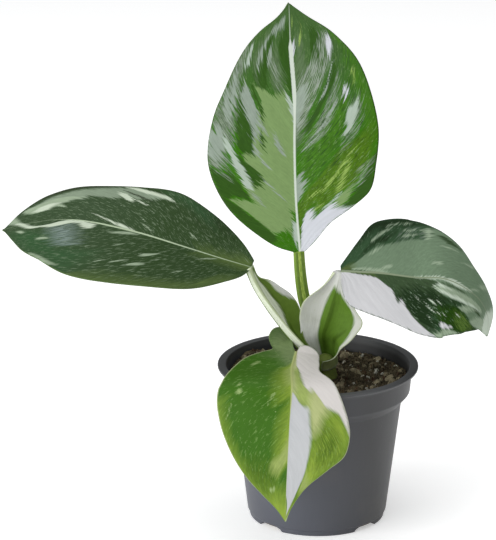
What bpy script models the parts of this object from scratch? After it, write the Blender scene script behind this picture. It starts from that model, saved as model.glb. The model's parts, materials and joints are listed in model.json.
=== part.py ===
"""A potted white wizard philodendron at its real size, in metres, +Z up.

The origin is the centre of the pot's underside, on the surface that the pot stands on, and -Y is the front.
A short stem stands in a hole in the soil. Four winged stalks clasp it, and each carries one broad blade.
"""

import math
from dataclasses import dataclass

import bmesh
import bpy
import numpy as np
from mathutils import Vector, noise

# Driving dimensions of the pot
POT_HEIGHT = 0.095
LIP_RADIUS = 0.060
LIP_DEPTH = 0.0010
LIP_ROUND = 0.0006
BAND_TOP_RADIUS = 0.0564
BAND_FOOT_RADIUS = 0.0552
BAND_FOOT_Z = 0.0795
BODY_TOP_RADIUS = 0.0503
BODY_TOP_Z = 0.0738
BODY_FOOT_RADIUS = 0.0419
FOOT_RADIUS = 0.0407
FOOT_HEIGHT = 0.0032
WALL = 0.0015
FLOOR = 0.0020
TURNED_STEPS = 48

# Openings in the pot's foot and floor
NOTCH_COUNT = 4
NOTCH_WIDTH = 0.018
NOTCH_HEIGHT = 0.0032
NOTCH_REACH = 0.012
FLOOR_HOLE_COUNT = 4
FLOOR_HOLE_RADIUS = 0.0045
FLOOR_HOLE_CIRCLE = 0.027

# The soil, and the gap that touching pieces keep
SOIL_Z = 0.0860
SOIL_RING_COUNT = 10
SOIL_RELIEF = 0.0018
SOIL_FINE_RELIEF = 0.0011
SOIL_LUMP = 0.009
SOIL_SWELL = 0.027
SOIL_SEED = Vector((3.1, 7.7, 0.4))
GAP = 0.0003
TRIM_GAP = 0.0004
WELD = 0.00003

# Blades and stalks
BLADE_THICKNESS = 0.0009
RIB_THICKNESS = 0.0028
BLADE_ROWS = 24
BLADE_COLUMNS = (0.0, 0.07, 0.22, 0.46, 0.73, 1.0)
ROW_CROWDING = 1.35
MARGIN_CROWDING = 1.2
ROW_SWEEP = 1.5
RIB_TAPER = 0.85
DROOP_WIDTH = 0.050
NEARLY_FLAT = 0.001
STALK_RINGS = 13
STALK_POINTS = 6
BACK_SHARE = 0.62
STALK_BREADTH = 0.62
STEM_SIDES = 16
DENSE = 400


@dataclass(frozen=True)
class Finish:
    """The look of one node's surface."""

    colour: tuple
    roughness: float


@dataclass(frozen=True)
class BladeShape:
    """One leaf blade. An outline point is (distance along the midrib, distance out from it).

    left and right are seen from the base, with the face up. fold and droop are degrees at the base,
    the middle and the tip; droop is the turn in DROOP_WIDTH.
    """

    midrib: tuple
    face: tuple
    left: tuple
    right: tuple
    fold_left: tuple = (6.0, 4.0, 0.0)
    fold_right: tuple = (6.0, 4.0, 0.0)
    droop_left: tuple = (-10.0, -10.0, 0.0)
    droop_right: tuple = (-10.0, -10.0, 0.0)
    lobe_rise: float = 0.0
    wave: float = 0.0006
    wave_count: float = 3.0


@dataclass(frozen=True)
class StalkShape:
    """One petiole. A station is (fraction of the length, left wing, right wing, left turn, right turn,
    stalk, edge).

    The wings are the sheath's widths round the gutter, the turns are how far each wing curls in degrees,
    and stalk and edge are thicknesses. left and right are seen on the open side, with the blade up.
    """

    path: tuple
    opening: tuple
    stations: tuple


TOP_BLADE = BladeShape(
    midrib=(
        (-0.0111, 0.0000, 0.1642),
        (-0.0134, 0.0140, 0.1922),
        (-0.0142, 0.0260, 0.2203),
        (-0.0142, 0.0360, 0.2484),
        (-0.0167, 0.0420, 0.2810),
        (-0.0177, 0.0380, 0.3058),
    ),
    face=(0.0, -1.0, 0.3),
    left=(
        (0.000, 0.003),
        (0.003, 0.012),
        (0.013, 0.026),
        (0.033, 0.044),
        (0.053, 0.0515),
        (0.078, 0.049),
        (0.101, 0.041),
        (0.120, 0.030),
        (0.133, 0.018),
        (0.142, 0.007),
    ),
    right=(
        (0.000, 0.003),
        (0.006, 0.010),
        (0.015, 0.019),
        (0.024, 0.033),
        (0.034, 0.044),
        (0.052, 0.0485),
        (0.075, 0.050),
        (0.096, 0.045),
        (0.114, 0.038),
        (0.131, 0.025),
        (0.142, 0.010),
    ),
    fold_left=(12.0, 8.0, 0.0),
    fold_right=(12.0, 8.0, 0.0),
)
LEFT_BLADE = BladeShape(
    midrib=(
        (-0.0400, -0.0120, 0.1583),
        (-0.0559, -0.0080, 0.1620),
        (-0.0766, -0.0030, 0.1673),
        (-0.1123, 0.0090, 0.1749),
        (-0.1513, 0.0250, 0.1770),
        (-0.1811, 0.0360, 0.1698),
        (-0.1899, 0.0390, 0.1665),
    ),
    face=(0.0, -0.4, 1.0),
    left=(
        (0.000, 0.004),
        (0.002, 0.011),
        (0.011, 0.022),
        (0.030, 0.039),
        (0.049, 0.047),
        (0.071, 0.052),
        (0.095, 0.053),
        (0.114, 0.046),
        (0.137, 0.031),
        (0.151, 0.015),
    ),
    right=(
        (0.000, 0.006),
        (0.011, 0.017),
        (0.029, 0.031),
        (0.046, 0.038),
        (0.064, 0.043),
        (0.088, 0.041),
        (0.110, 0.035),
        (0.132, 0.031),
        (0.144, 0.027),
        (0.154, 0.018),
    ),
    fold_left=(8.0, 6.0, 0.0),
    fold_right=(8.0, 6.0, 0.0),
    droop_left=(-8.0, -8.0, 0.0),
    droop_right=(-8.0, -8.0, 0.0),
)
RIGHT_BLADE = BladeShape(
    midrib=(
        (0.0128, -0.0120, 0.1561),
        (0.0355, -0.0110, 0.1546),
        (0.0574, -0.0100, 0.1515),
        (0.0734, -0.0080, 0.1502),
        (0.0870, -0.0060, 0.1434),
        (0.0958, -0.0050, 0.1354),
        (0.1006, -0.0040, 0.1245),
        (0.1003, -0.0040, 0.1133),
    ),
    face=(0.0, -0.6, 1.0),
    left=(
        (0.000, 0.004),
        (0.002, 0.008),
        (0.012, 0.028),
        (0.022, 0.045),
        (0.036, 0.053),
        (0.053, 0.051),
        (0.062, 0.042),
        (0.070, 0.034),
        (0.079, 0.023),
        (0.090, 0.016),
        (0.101, 0.012),
        (0.107, 0.006),
    ),
    right=(
        (0.000, 0.004),
        (0.000, 0.012),
        (0.004, 0.024),
        (0.014, 0.029),
        (0.036, 0.036),
        (0.052, 0.0415),
        (0.070, 0.039),
        (0.085, 0.033),
        (0.097, 0.022),
        (0.106, 0.011),
    ),
    fold_left=(0.0, 0.0, 0.0),
    fold_right=(0.0, 0.0, 0.0),
    droop_left=(-12.0, -12.0, -5.0),
    droop_right=(-15.0, -20.0, -10.0),
)
FRONT_BLADE = BladeShape(
    midrib=(
        (-0.0135, -0.0200, 0.1086),
        (-0.0162, -0.0400, 0.1056),
        (-0.0166, -0.0630, 0.1001),
        (-0.0174, -0.0690, 0.0901),
        (-0.0181, -0.0720, 0.0778),
        (-0.0195, -0.0730, 0.0468),
        (-0.0204, -0.0710, 0.0223),
    ),
    face=(0.0, 0.1, 1.0),
    left=(
        (-0.004, 0.0015),
        (-0.006, 0.005),
        (-0.003, 0.012),
        (0.009, 0.015),
        (0.029, 0.0175),
        (0.041, 0.025),
        (0.053, 0.031),
        (0.070, 0.035),
        (0.080, 0.033),
        (0.090, 0.0235),
        (0.105, 0.0095),
        (0.116, 0.0035),
    ),
    right=(
        (-0.004, 0.002),
        (-0.013, 0.0050),
        (-0.0185, 0.0090),
        (-0.0175, 0.0145),
        (-0.0110, 0.0175),
        (-0.0050, 0.0165),
        (0.000, 0.014),
        (0.006, 0.0185),
        (0.018, 0.0295),
        (0.036, 0.040),
        (0.051, 0.043),
        (0.066, 0.0405),
        (0.080, 0.035),
        (0.098, 0.024),
        (0.110, 0.013),
        (0.118, 0.005),
    ),
    fold_left=(-5.0, 4.0, 0.0),
    fold_right=(12.0, 4.0, 0.0),
    droop_left=(-8.0, -12.0, -4.0),
    droop_right=(-8.0, -12.0, -4.0),
    lobe_rise=0.25,
)

STEM_PATH = (
    (0.0060, 0.0000, 0.0600),
    (0.0055, -0.0005, 0.0860),
    (0.0045, -0.0010, 0.0945),
    (0.0036, -0.0010, 0.1010),
)
STEM_RADII = (0.0050, 0.0060, 0.0056, 0.0045)

TOP_STALK = StalkShape(
    path=(
        (0.0020, -0.0004, 0.1070),
        (-0.0022, 0.0002, 0.1162),
        (-0.0060, 0.0010, 0.1250),
        (-0.0085, 0.0020, 0.1340),
        (-0.0098, 0.0020, 0.1423),
        (-0.0107, 0.0010, 0.1530),
        (-0.0113, 0.0000, 0.1646),
    ),
    opening=(0.1, -1.0, 0.3),
    stations=(
        (0.0, 0.0038, 0.0038, 75.0, 75.0, 0.0050, 0.0020),
        (0.4, 0.0036, 0.0036, 70.0, 70.0, 0.0050, 0.0018),
        (1.0, 0.0032, 0.0032, 70.0, 70.0, 0.0048, 0.0016),
    ),
)
LEFT_STALK = StalkShape(
    path=(
        (-0.0030, -0.0055, 0.0995),
        (-0.0136, -0.0085, 0.1135),
        (-0.0205, -0.0100, 0.1240),
        (-0.0279, -0.0115, 0.1357),
        (-0.0352, -0.0120, 0.1476),
        (-0.0410, -0.0120, 0.1584),
    ),
    opening=(0.80, -0.25, 0.50),
    stations=(
        (0.0, 0.0070, 0.0034, 95.0, 70.0, 0.0045, 0.0012),
        (0.2, 0.0075, 0.0060, 85.0, 75.0, 0.0048, 0.0009),
        (0.4, 0.0055, 0.0160, 75.0, 75.0, 0.0050, 0.0009),
        (0.55, 0.0045, 0.0170, 75.0, 75.0, 0.0050, 0.0009),
        (0.68, 0.0042, 0.0140, 70.0, 70.0, 0.0049, 0.0009),
        (0.80, 0.0038, 0.0070, 70.0, 70.0, 0.0048, 0.0012),
        (1.0, 0.0034, 0.0034, 70.0, 70.0, 0.0046, 0.0018),
    ),
)
RIGHT_STALK = StalkShape(
    path=(
        (0.0048, 0.0062, 0.0965),
        (0.0036, 0.0040, 0.1050),
        (0.0032, 0.0000, 0.1130),
        (0.0052, -0.0035, 0.1213),
        (0.0086, -0.0065, 0.1356),
        (0.0112, -0.0100, 0.1476),
        (0.0122, -0.0116, 0.1552),
    ),
    opening=(-0.15, -1.0, 0.25),
    stations=(
        (0.0, 0.0100, 0.0245, 80.0, 195.0, 0.0040, 0.0012),
        (0.12, 0.0114, 0.0232, 76.0, 176.0, 0.0041, 0.0010),
        (0.22, 0.0134, 0.0195, 70.0, 115.0, 0.0043, 0.0009),
        (0.33, 0.0155, 0.0178, 60.0, 70.0, 0.0045, 0.0009),
        (0.46, 0.0180, 0.0192, 48.0, 48.0, 0.0048, 0.0009),
        (0.62, 0.0180, 0.0190, 45.0, 46.0, 0.0050, 0.0009),
        (0.82, 0.0105, 0.0085, 55.0, 55.0, 0.0050, 0.0010),
        (1.0, 0.0040, 0.0030, 65.0, 65.0, 0.0044, 0.0018),
    ),
)
FRONT_STALK = StalkShape(
    path=(
        (-0.0010, -0.0052, 0.0925),
        (-0.0048, -0.0118, 0.0982),
        (-0.0090, -0.0165, 0.1038),
        (-0.0134, -0.0212, 0.1072),
    ),
    opening=(0.2, 0.2, 1.0),
    stations=(
        (0.0, 0.0034, 0.0034, 60.0, 60.0, 0.0045, 0.0020),
        (1.0, 0.0030, 0.0030, 60.0, 60.0, 0.0042, 0.0018),
    ),
)

POT_FINISH = Finish((0.075, 0.077, 0.086), 0.45)
SOIL_FINISH = Finish((0.022, 0.014, 0.009), 0.95)
STEM_FINISH = Finish((0.13, 0.20, 0.04), 0.5)
WHITE_STALK_FINISH = Finish((0.62, 0.64, 0.55), 0.45)
GREEN_STALK_FINISH = Finish((0.19, 0.33, 0.06), 0.45)
TOP_FINISH = Finish((0.09, 0.24, 0.03), 0.38)
DARK_FINISH = Finish((0.04, 0.09, 0.04), 0.35)
SAGE_FINISH = Finish((0.14, 0.21, 0.13), 0.38)
LIME_FINISH = Finish((0.22, 0.36, 0.05), 0.40)


def clear_scene():
    """Removes every object of the startup scene."""
    for obj in list(bpy.data.objects):
        bpy.data.objects.remove(obj, do_unlink=True)


def new_collection(name):
    collection = bpy.data.collections.new(name)
    bpy.context.scene.collection.children.link(collection)
    return collection


def place(name, mesh, collection):
    obj = bpy.data.objects.new(name, mesh)
    collection.objects.link(obj)
    return obj


def finish(obj, look):
    """Gives the object a Principled material of its own."""
    material = bpy.data.materials.new(obj.name)
    material.use_nodes = True
    shader = material.node_tree.nodes["Principled BSDF"]
    shader.inputs["Base Color"].default_value = (*look.colour, 1.0)
    shader.inputs["Roughness"].default_value = look.roughness
    shader.inputs["Metallic"].default_value = 0.0
    obj.data.materials.clear()
    obj.data.materials.append(material)


def through(knots, values, at):
    """The smooth curve through values at knots, read at the given places."""
    knots = np.asarray(knots, float)
    values = np.asarray(values, float)
    slopes = np.gradient(values, knots, axis=0)
    at = np.clip(np.asarray(at, float), knots[0], knots[-1])
    low = np.clip(np.searchsorted(knots, at, side="right") - 1, 0, len(knots) - 2)
    span = knots[low + 1] - knots[low]
    t = (at - knots[low]) / span
    shape = (slice(None),) + (None,) * (values.ndim - 1)
    t = t[shape]
    span = span[shape]
    start = (2 * t**3 - 3 * t**2 + 1) * values[low] + (t**3 - 2 * t**2 + t) * span * slopes[low]
    end = (3 * t**2 - 2 * t**3) * values[low + 1] + (t**3 - t**2) * span * slopes[low + 1]
    return start + end


def along(points):
    """Distance along a run of points, from its first one."""
    steps = np.linalg.norm(np.diff(np.asarray(points, float), axis=0), axis=1)
    return np.concatenate([[0.0], np.cumsum(steps)])


def smooth_curve(points, count=DENSE):
    """Points at equal distances along the smooth curve through the given ones."""
    knots = along(points)
    dense = through(knots, points, np.linspace(0.0, knots[-1], DENSE))
    lengths = along(dense)
    wanted = np.linspace(0.0, lengths[-1], count)
    return np.stack([np.interp(wanted, lengths, column) for column in dense.T], axis=-1)


def unit(vectors):
    return vectors / np.linalg.norm(vectors, axis=-1, keepdims=True)


def carried_across(tangents, first):
    """A direction square to each tangent, carried along the curve without a twist."""
    across = np.empty_like(tangents)
    direction = np.asarray(first, float)
    for index, tangent in enumerate(tangents):
        direction = unit(direction - tangent * (direction @ tangent))
        across[index] = direction
    return across


def eased(values, share):
    """The parabola through three values at the start, the middle and the end."""
    first, middle, last = values
    return (
        first * (1 - share) * (1 - 2 * share)
        + 4 * middle * share * (1 - share)
        + last * share * (2 * share - 1)
    )


class Blade:
    """A leaf blade as a bent sheet: it turns a place on the flat blade into a point in space."""

    def __init__(self, shape):
        self.shape = shape
        self.rib = smooth_curve(shape.midrib)
        self.length = along(self.rib)[-1]
        self.tangents = unit(np.gradient(self.rib, axis=0))
        first = unit(np.cross(shape.face, self.tangents[0]))
        self.lefts = carried_across(self.tangents, first)
        self.margins = {}
        for side, outline in ((1, shape.left), (-1, shape.right)):
            self.margins[side] = smooth_curve((*outline, (self.length, 0.0)))

    def on_flat(self, row, column):
        """(station, distance out) of a place. Rows run as the side veins do, from midrib to margin."""
        side = np.where(column >= 0, 1, -1)
        reach = np.abs(column)
        shares = np.linspace(0.0, 1.0, DENSE)
        at_margin = row**MARGIN_CROWDING
        edge = [
            np.where(
                side > 0,
                np.interp(at_margin, shares, self.margins[1][:, axis]),
                np.interp(at_margin, shares, self.margins[-1][:, axis]),
            )
            for axis in (0, 1)
        ]
        start = self.length * row**ROW_CROWDING
        station = start + (edge[0] - start) * reach**ROW_SWEEP
        return station, edge[1] * reach * side

    def in_space(self, station, out, row, reach):
        """The point of the bent sheet at a place of the flat one."""
        shape = self.shape
        on_rib = np.clip(station, 0.0, self.length)
        share = on_rib / self.length
        places = np.linspace(0.0, self.length, DENSE)
        point, tangent, left = (
            np.stack([np.interp(on_rib, places, column) for column in table.T], axis=-1)
            for table in (self.rib, self.tangents, self.lefts)
        )
        tangent = unit(tangent)
        left = unit(left)
        up = np.cross(tangent, left)
        is_left = out >= 0
        fold = np.where(is_left, eased(shape.fold_left, share), eased(shape.fold_right, share))
        droop = np.where(is_left, eased(shape.droop_left, share), eased(shape.droop_right, share))
        fold = np.radians(fold)
        bend = np.radians(droop) / DROOP_WIDTH
        bend = np.where(np.abs(bend) < NEARLY_FLAT, NEARLY_FLAT, bend)
        size = np.abs(out)
        across = (np.sin(fold + bend * size) - np.sin(fold)) / bend
        height = (np.cos(fold) - np.cos(fold + bend * size)) / bend
        height = height - shape.lobe_rise * np.minimum(station, 0.0)
        height = height + shape.wave * reach**3 * np.sin(2 * np.pi * shape.wave_count * row + is_left)
        beyond = (station - on_rib)[..., None]
        return point + beyond * tangent + (np.sign(out) * across)[..., None] * left + height[..., None] * up


def blade_node(name, shape, look, collection):
    """The blade: a bent grid whose triangles are alike on both faces, with a thicker midrib below."""
    blade = Blade(shape)
    columns = [-share for share in BLADE_COLUMNS[:0:-1]] + list(BLADE_COLUMNS)
    form = bmesh.new()
    bmesh.ops.create_grid(form, x_segments=BLADE_ROWS, y_segments=len(columns) - 1, size=1.0)
    thick = form.verts.layers.deform.verify()
    form.verts.ensure_lookup_table()
    rows = np.array([(vert.co.x + 1) / 2 for vert in form.verts])
    steps = np.array([(vert.co.y + 1) / 2 for vert in form.verts])
    reach = np.interp(steps, np.linspace(0.0, 1.0, len(columns)), columns)
    station, out = blade.on_flat(rows, reach)
    points = blade.in_space(station, out, rows, np.abs(reach))
    for vert, point, share, row in zip(form.verts, points, np.abs(reach), rows):
        vert.co = Vector(point)
        near_rib = max(0.0, 1.0 - share / BLADE_COLUMNS[2])
        vert[thick][0] = near_rib * (1.0 - RIB_TAPER * row)
    bmesh.ops.remove_doubles(form, verts=form.verts, dist=WELD)
    bmesh.ops.triangulate(form, faces=form.faces)
    bmesh.ops.recalc_face_normals(form, faces=form.faces)
    turned = Vector(blade.shape.face).dot(sum((f.normal * f.calc_area() for f in form.faces), Vector()))
    if turned < 0:
        bmesh.ops.reverse_faces(form, faces=form.faces)
    mesh = bpy.data.meshes.new(name)
    form.to_mesh(mesh)
    form.free()
    obj = place(name, mesh, collection)
    obj.vertex_groups.new(name="rib")
    solid = obj.modifiers.new("Thickness", "SOLIDIFY")
    solid.thickness = RIB_THICKNESS
    solid.vertex_group = "rib"
    solid.thickness_vertex_group = BLADE_THICKNESS / RIB_THICKNESS
    solid.offset = -1.0
    baked(obj)
    finish(obj, look)
    return obj


def loft(name, rings, collection):
    """A closed solid through rings of equally many points, with flat ends."""
    form = bmesh.new()
    rows = [[form.verts.new(point) for point in ring] for ring in rings]
    count = len(rows[0])
    for low, high in zip(rows, rows[1:]):
        for index in range(count):
            after = (index + 1) % count
            form.faces.new((low[index], low[after], high[after], high[index]))
    form.faces.new(rows[0])
    form.faces.new(rows[-1])
    bmesh.ops.triangulate(form, faces=form.faces)
    bmesh.ops.recalc_face_normals(form, faces=form.faces)
    mesh = bpy.data.meshes.new(name)
    form.to_mesh(mesh)
    form.free()
    return place(name, mesh, collection)


def gutter_section(left, right, left_turn, right_turn, stalk, edge):
    """The outline of a stalk's cross-section: (across, towards the open side), left tip to right and back."""
    shares = np.linspace(-1.0, 1.0, 2 * STALK_POINTS + 1)
    wing = np.where(shares < 0, left, right)
    full_turn = np.radians(np.where(shares < 0, left_turn, right_turn))
    reach = np.abs(shares) * wing
    turn = full_turn * np.abs(shares)
    radius = wing / full_turn
    across = np.sign(shares) * radius * np.sin(turn)
    depth = radius * (1 - np.cos(turn))
    normal_across = -np.sign(shares) * np.sin(turn)
    normal_depth = np.cos(turn)
    thick = edge + (stalk - edge) * np.exp(-((reach / (STALK_BREADTH * stalk)) ** 2))
    back = BACK_SHARE * thick
    inside = thick - back
    outer = np.stack([across - normal_across * back, depth - normal_depth * back], axis=-1)
    inner = np.stack([across + normal_across * inside, depth + normal_depth * inside], axis=-1)
    return np.concatenate([outer, inner[::-1]])


def stalk_node(name, shape, look, collection):
    """A petiole: one gutter-shaped section after another along its path."""
    path = smooth_curve(shape.path, STALK_RINGS)
    tangents = unit(np.gradient(path, axis=0))
    stations = np.array(shape.stations)
    rings = []
    for share, point, tangent in zip(np.linspace(0.0, 1.0, STALK_RINGS), path, tangents):
        sizes = through(stations[:, 0], stations[:, 1:], np.array([share]))[0]
        opening = np.asarray(shape.opening, float)
        opening = unit(opening - tangent * (opening @ tangent))
        right = np.cross(tangent, opening)
        section = gutter_section(*sizes)
        rings.append(point + section[:, :1] * right + section[:, 1:] * opening)
    obj = loft(name, rings, collection)
    finish(obj, look)
    return obj


def stem_node(collection):
    """The short stem, round, with its foot below the soil."""
    path = smooth_curve(STEM_PATH, STALK_RINGS)
    radii = through(along(STEM_PATH), STEM_RADII, np.linspace(0.0, along(STEM_PATH)[-1], STALK_RINGS))
    tangents = unit(np.gradient(path, axis=0))
    sides = carried_across(tangents, (1.0, 0.0, 0.0))
    angles = np.linspace(0.0, 2 * np.pi, STEM_SIDES, endpoint=False)
    rings = []
    for point, tangent, side, radius in zip(path, tangents, sides, radii):
        other = np.cross(tangent, side)
        circle = np.cos(angles)[:, None] * side + np.sin(angles)[:, None] * other
        rings.append(point + radius * circle)
    obj = loft("stem", rings, collection)
    finish(obj, STEM_FINISH)
    return obj


def turned(name, profile, collection):
    """A solid of revolution about Z. The profile starts and ends on the axis."""
    mesh = bpy.data.meshes.new(name)
    points = [(radius, 0.0, height) for radius, height in profile]
    mesh.from_pydata(points, [(index, index + 1) for index in range(len(points) - 1)], [])
    obj = place(name, mesh, collection)
    screw = obj.modifiers.new("Turn", "SCREW")
    screw.steps = TURNED_STEPS
    screw.render_steps = TURNED_STEPS
    screw.use_merge_vertices = True
    screw.merge_threshold = WELD
    return obj


def inner_wall():
    """The pot's inside, from floor to lip, as (radius, height)."""
    return (
        (BODY_FOOT_RADIUS - WALL, FLOOR),
        (BODY_TOP_RADIUS - WALL, BODY_TOP_Z + WALL / 2),
        (BAND_FOOT_RADIUS - WALL, BAND_FOOT_Z + WALL / 2),
        (BAND_TOP_RADIUS - WALL, POT_HEIGHT - LIP_ROUND),
    )


def pot_profile():
    """The pot's section, from the floor's middle up the inside, over the lip and down the outside."""
    lip_inner = BAND_TOP_RADIUS - WALL
    outside = (
        (lip_inner + LIP_ROUND, POT_HEIGHT),
        (LIP_RADIUS - LIP_ROUND, POT_HEIGHT),
        (LIP_RADIUS, POT_HEIGHT - LIP_ROUND),
        (LIP_RADIUS, POT_HEIGHT - LIP_DEPTH),
        (LIP_RADIUS - LIP_ROUND, POT_HEIGHT - LIP_DEPTH - LIP_ROUND),
        (BAND_TOP_RADIUS, POT_HEIGHT - LIP_DEPTH - 2 * LIP_ROUND),
        (BAND_FOOT_RADIUS, BAND_FOOT_Z),
        (BODY_TOP_RADIUS, BODY_TOP_Z),
        (BODY_FOOT_RADIUS, FOOT_HEIGHT + LIP_ROUND),
        (FOOT_RADIUS, FOOT_HEIGHT),
        (FOOT_RADIUS, 0.0),
        (0.0, 0.0),
    )
    return ((0.0, FLOOR), *inner_wall(), *outside)


def foot_cutters(collection):
    """Arched notches through the foot and round holes through the floor."""
    for index in range(NOTCH_COUNT):
        angle = math.radians(45) + index * math.tau / NOTCH_COUNT
        centre = Vector((math.cos(angle), math.sin(angle), 0.0)) * FOOT_RADIUS
        bpy.ops.mesh.primitive_cylinder_add(
            vertices=20,
            radius=NOTCH_WIDTH / 2,
            depth=NOTCH_REACH,
            location=centre,
            rotation=(math.pi / 2, 0.0, angle + math.pi / 2),
            scale=(1.0, 2 * NOTCH_HEIGHT / NOTCH_WIDTH, 1.0),
        )
        tuck_away(bpy.context.object, f"notch_{index}", collection)
    for index in range(FLOOR_HOLE_COUNT):
        angle = index * math.tau / FLOOR_HOLE_COUNT
        centre = Vector((math.cos(angle), math.sin(angle), 0.0)) * FLOOR_HOLE_CIRCLE
        bpy.ops.mesh.primitive_cylinder_add(
            vertices=16, radius=FLOOR_HOLE_RADIUS, depth=6 * FLOOR, location=centre
        )
        tuck_away(bpy.context.object, f"floor_hole_{index}", collection)


def tuck_away(obj, name, collection):
    """Makes the object a cutter that the render leaves out."""
    obj.name = name
    for owner in list(obj.users_collection):
        owner.objects.unlink(obj)
    collection.objects.link(obj)
    obj.hide_render = True
    obj.display_type = "WIRE"


def pot_node(collection, cutters):
    obj = turned("nursery_pot", pot_profile(), collection)
    foot_cutters(cutters)
    cut = obj.modifiers.new("Drainage", "BOOLEAN")
    cut.operation = "DIFFERENCE"
    cut.operand_type = "COLLECTION"
    cut.collection = cutters
    obj.data.shade_smooth()
    finish(obj, POT_FINISH)
    return obj


def soil_profile():
    """The soil's section: its top in rings, then down the pot's inside with a gap all round."""
    wall = [(radius - GAP, height) for radius, height in inner_wall()]
    (_, foot_z), top = wall[0], wall[-1]
    wall[0] = (wall[0][0], foot_z + GAP)
    (low_radius, low_z), (high_radius, high_z) = wall[2], wall[3]
    share = (SOIL_Z - low_z) / (high_z - low_z)
    edge = (low_radius + share * (high_radius - low_radius), SOIL_Z)
    rings = [(edge[0] * index / SOIL_RING_COUNT, SOIL_Z) for index in range(SOIL_RING_COUNT)]
    return (*rings, edge, *wall[2::-1], (0.0, FLOOR + GAP))


def soil_height(x, y):
    """How far the soil's top stands above its mean level."""
    spot = Vector((x, y, 0.0))
    broad = noise.noise(spot / SOIL_SWELL + SOIL_SEED)
    fine = noise.noise(spot / SOIL_LUMP + SOIL_SEED)
    return SOIL_RELIEF * broad + SOIL_FINE_RELIEF * fine


def soil_node(stem, collection, cutters):
    obj = turned("potting_soil", soil_profile(), collection)
    baked(obj)
    for vert in obj.data.vertices:
        if vert.co.z > SOIL_Z - GAP:
            vert.co.z += soil_height(vert.co.x, vert.co.y)
    trimmed(obj, [stem], cutters)
    finish(obj, SOIL_FINISH)
    return obj


def baked(obj):
    """Replaces the object's mesh by what its modifiers make of it."""
    graph = bpy.context.evaluated_depsgraph_get()
    mesh = bpy.data.meshes.new_from_object(obj.evaluated_get(graph))
    obj.modifiers.clear()
    obj.data = mesh


def largest_body(mesh):
    """Welds the slivers that a cut leaves, and keeps only the mesh's largest connected body."""
    form = bmesh.new()
    form.from_mesh(mesh)
    bmesh.ops.triangulate(form, faces=form.faces)
    bmesh.ops.dissolve_degenerate(form, edges=form.edges, dist=WELD)
    bmesh.ops.triangulate(form, faces=form.faces)
    left = set(form.verts)
    bodies = []
    while left:
        stack = [left.pop()]
        body = set(stack)
        while stack:
            for edge in stack.pop().link_edges:
                for vert in edge.verts:
                    if vert in left:
                        left.remove(vert)
                        body.add(vert)
                        stack.append(vert)
        bodies.append(body)
    bodies.sort(key=len)
    for body in bodies[:-1]:
        bmesh.ops.delete(form, geom=list(body), context="VERTS")
    form.to_mesh(mesh)
    form.free()


def trimmed(obj, others, cutters):
    """Cuts the object back to the gap from each of the others, and drops loose scraps."""
    for other in others:
        grown = place(f"clearance_{other.name}", other.data.copy(), cutters)
        tuck_away(grown, grown.name, cutters)
        swell = grown.modifiers.new("Swell", "DISPLACE")
        swell.strength = TRIM_GAP
        swell.mid_level = 0.0
        cut = obj.modifiers.new("Clear", "BOOLEAN")
        cut.operation = "DIFFERENCE"
        cut.object = grown
        cut.use_self = True
        baked(obj)
        bpy.data.objects.remove(grown, do_unlink=True)
        largest_body(obj.data)


def main():
    clear_scene()
    plant = new_collection("potted_white_wizard_philodendron")
    cutters = new_collection("cutters")
    clearances = new_collection("clearances")
    pot_node(plant, cutters)
    stem = stem_node(plant)
    soil_node(stem, plant, clearances)
    leaf_top = blade_node("leaf_top", TOP_BLADE, TOP_FINISH, plant)
    leaf_left = blade_node("leaf_left", LEFT_BLADE, DARK_FINISH, plant)
    leaf_right = blade_node("leaf_right", RIGHT_BLADE, SAGE_FINISH, plant)
    leaf_front = blade_node("leaf_front", FRONT_BLADE, LIME_FINISH, plant)
    petiole_left = stalk_node("petiole_left", LEFT_STALK, WHITE_STALK_FINISH, plant)
    petiole_right = stalk_node("petiole_right", RIGHT_STALK, WHITE_STALK_FINISH, plant)
    petiole_front = stalk_node("petiole_front", FRONT_STALK, WHITE_STALK_FINISH, plant)
    petiole_top = stalk_node("petiole_top", TOP_STALK, GREEN_STALK_FINISH, plant)
    trimmed(petiole_left, [stem, leaf_left, leaf_front], clearances)
    trimmed(petiole_right, [stem, leaf_right, petiole_left], clearances)
    trimmed(petiole_front, [stem, leaf_front, petiole_left, petiole_right], clearances)
    trimmed(petiole_top, [stem, leaf_top, petiole_left, petiole_right], clearances)


main()
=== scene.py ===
"""Looks of a potted white wizard philodendron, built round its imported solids.

Everything is in metres, +Z up, with the origin under the middle of the pot and -Y towards the camera.
Lengths that only a pattern needs are in millimetres, and their names end in _mm.
"""

from __future__ import annotations

import json
import logging
import math
from dataclasses import dataclass, field
from enum import Enum
from typing import Any, Callable, Iterable, Sequence

import bmesh
import bpy
import numpy as np
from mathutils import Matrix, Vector, noise

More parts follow.
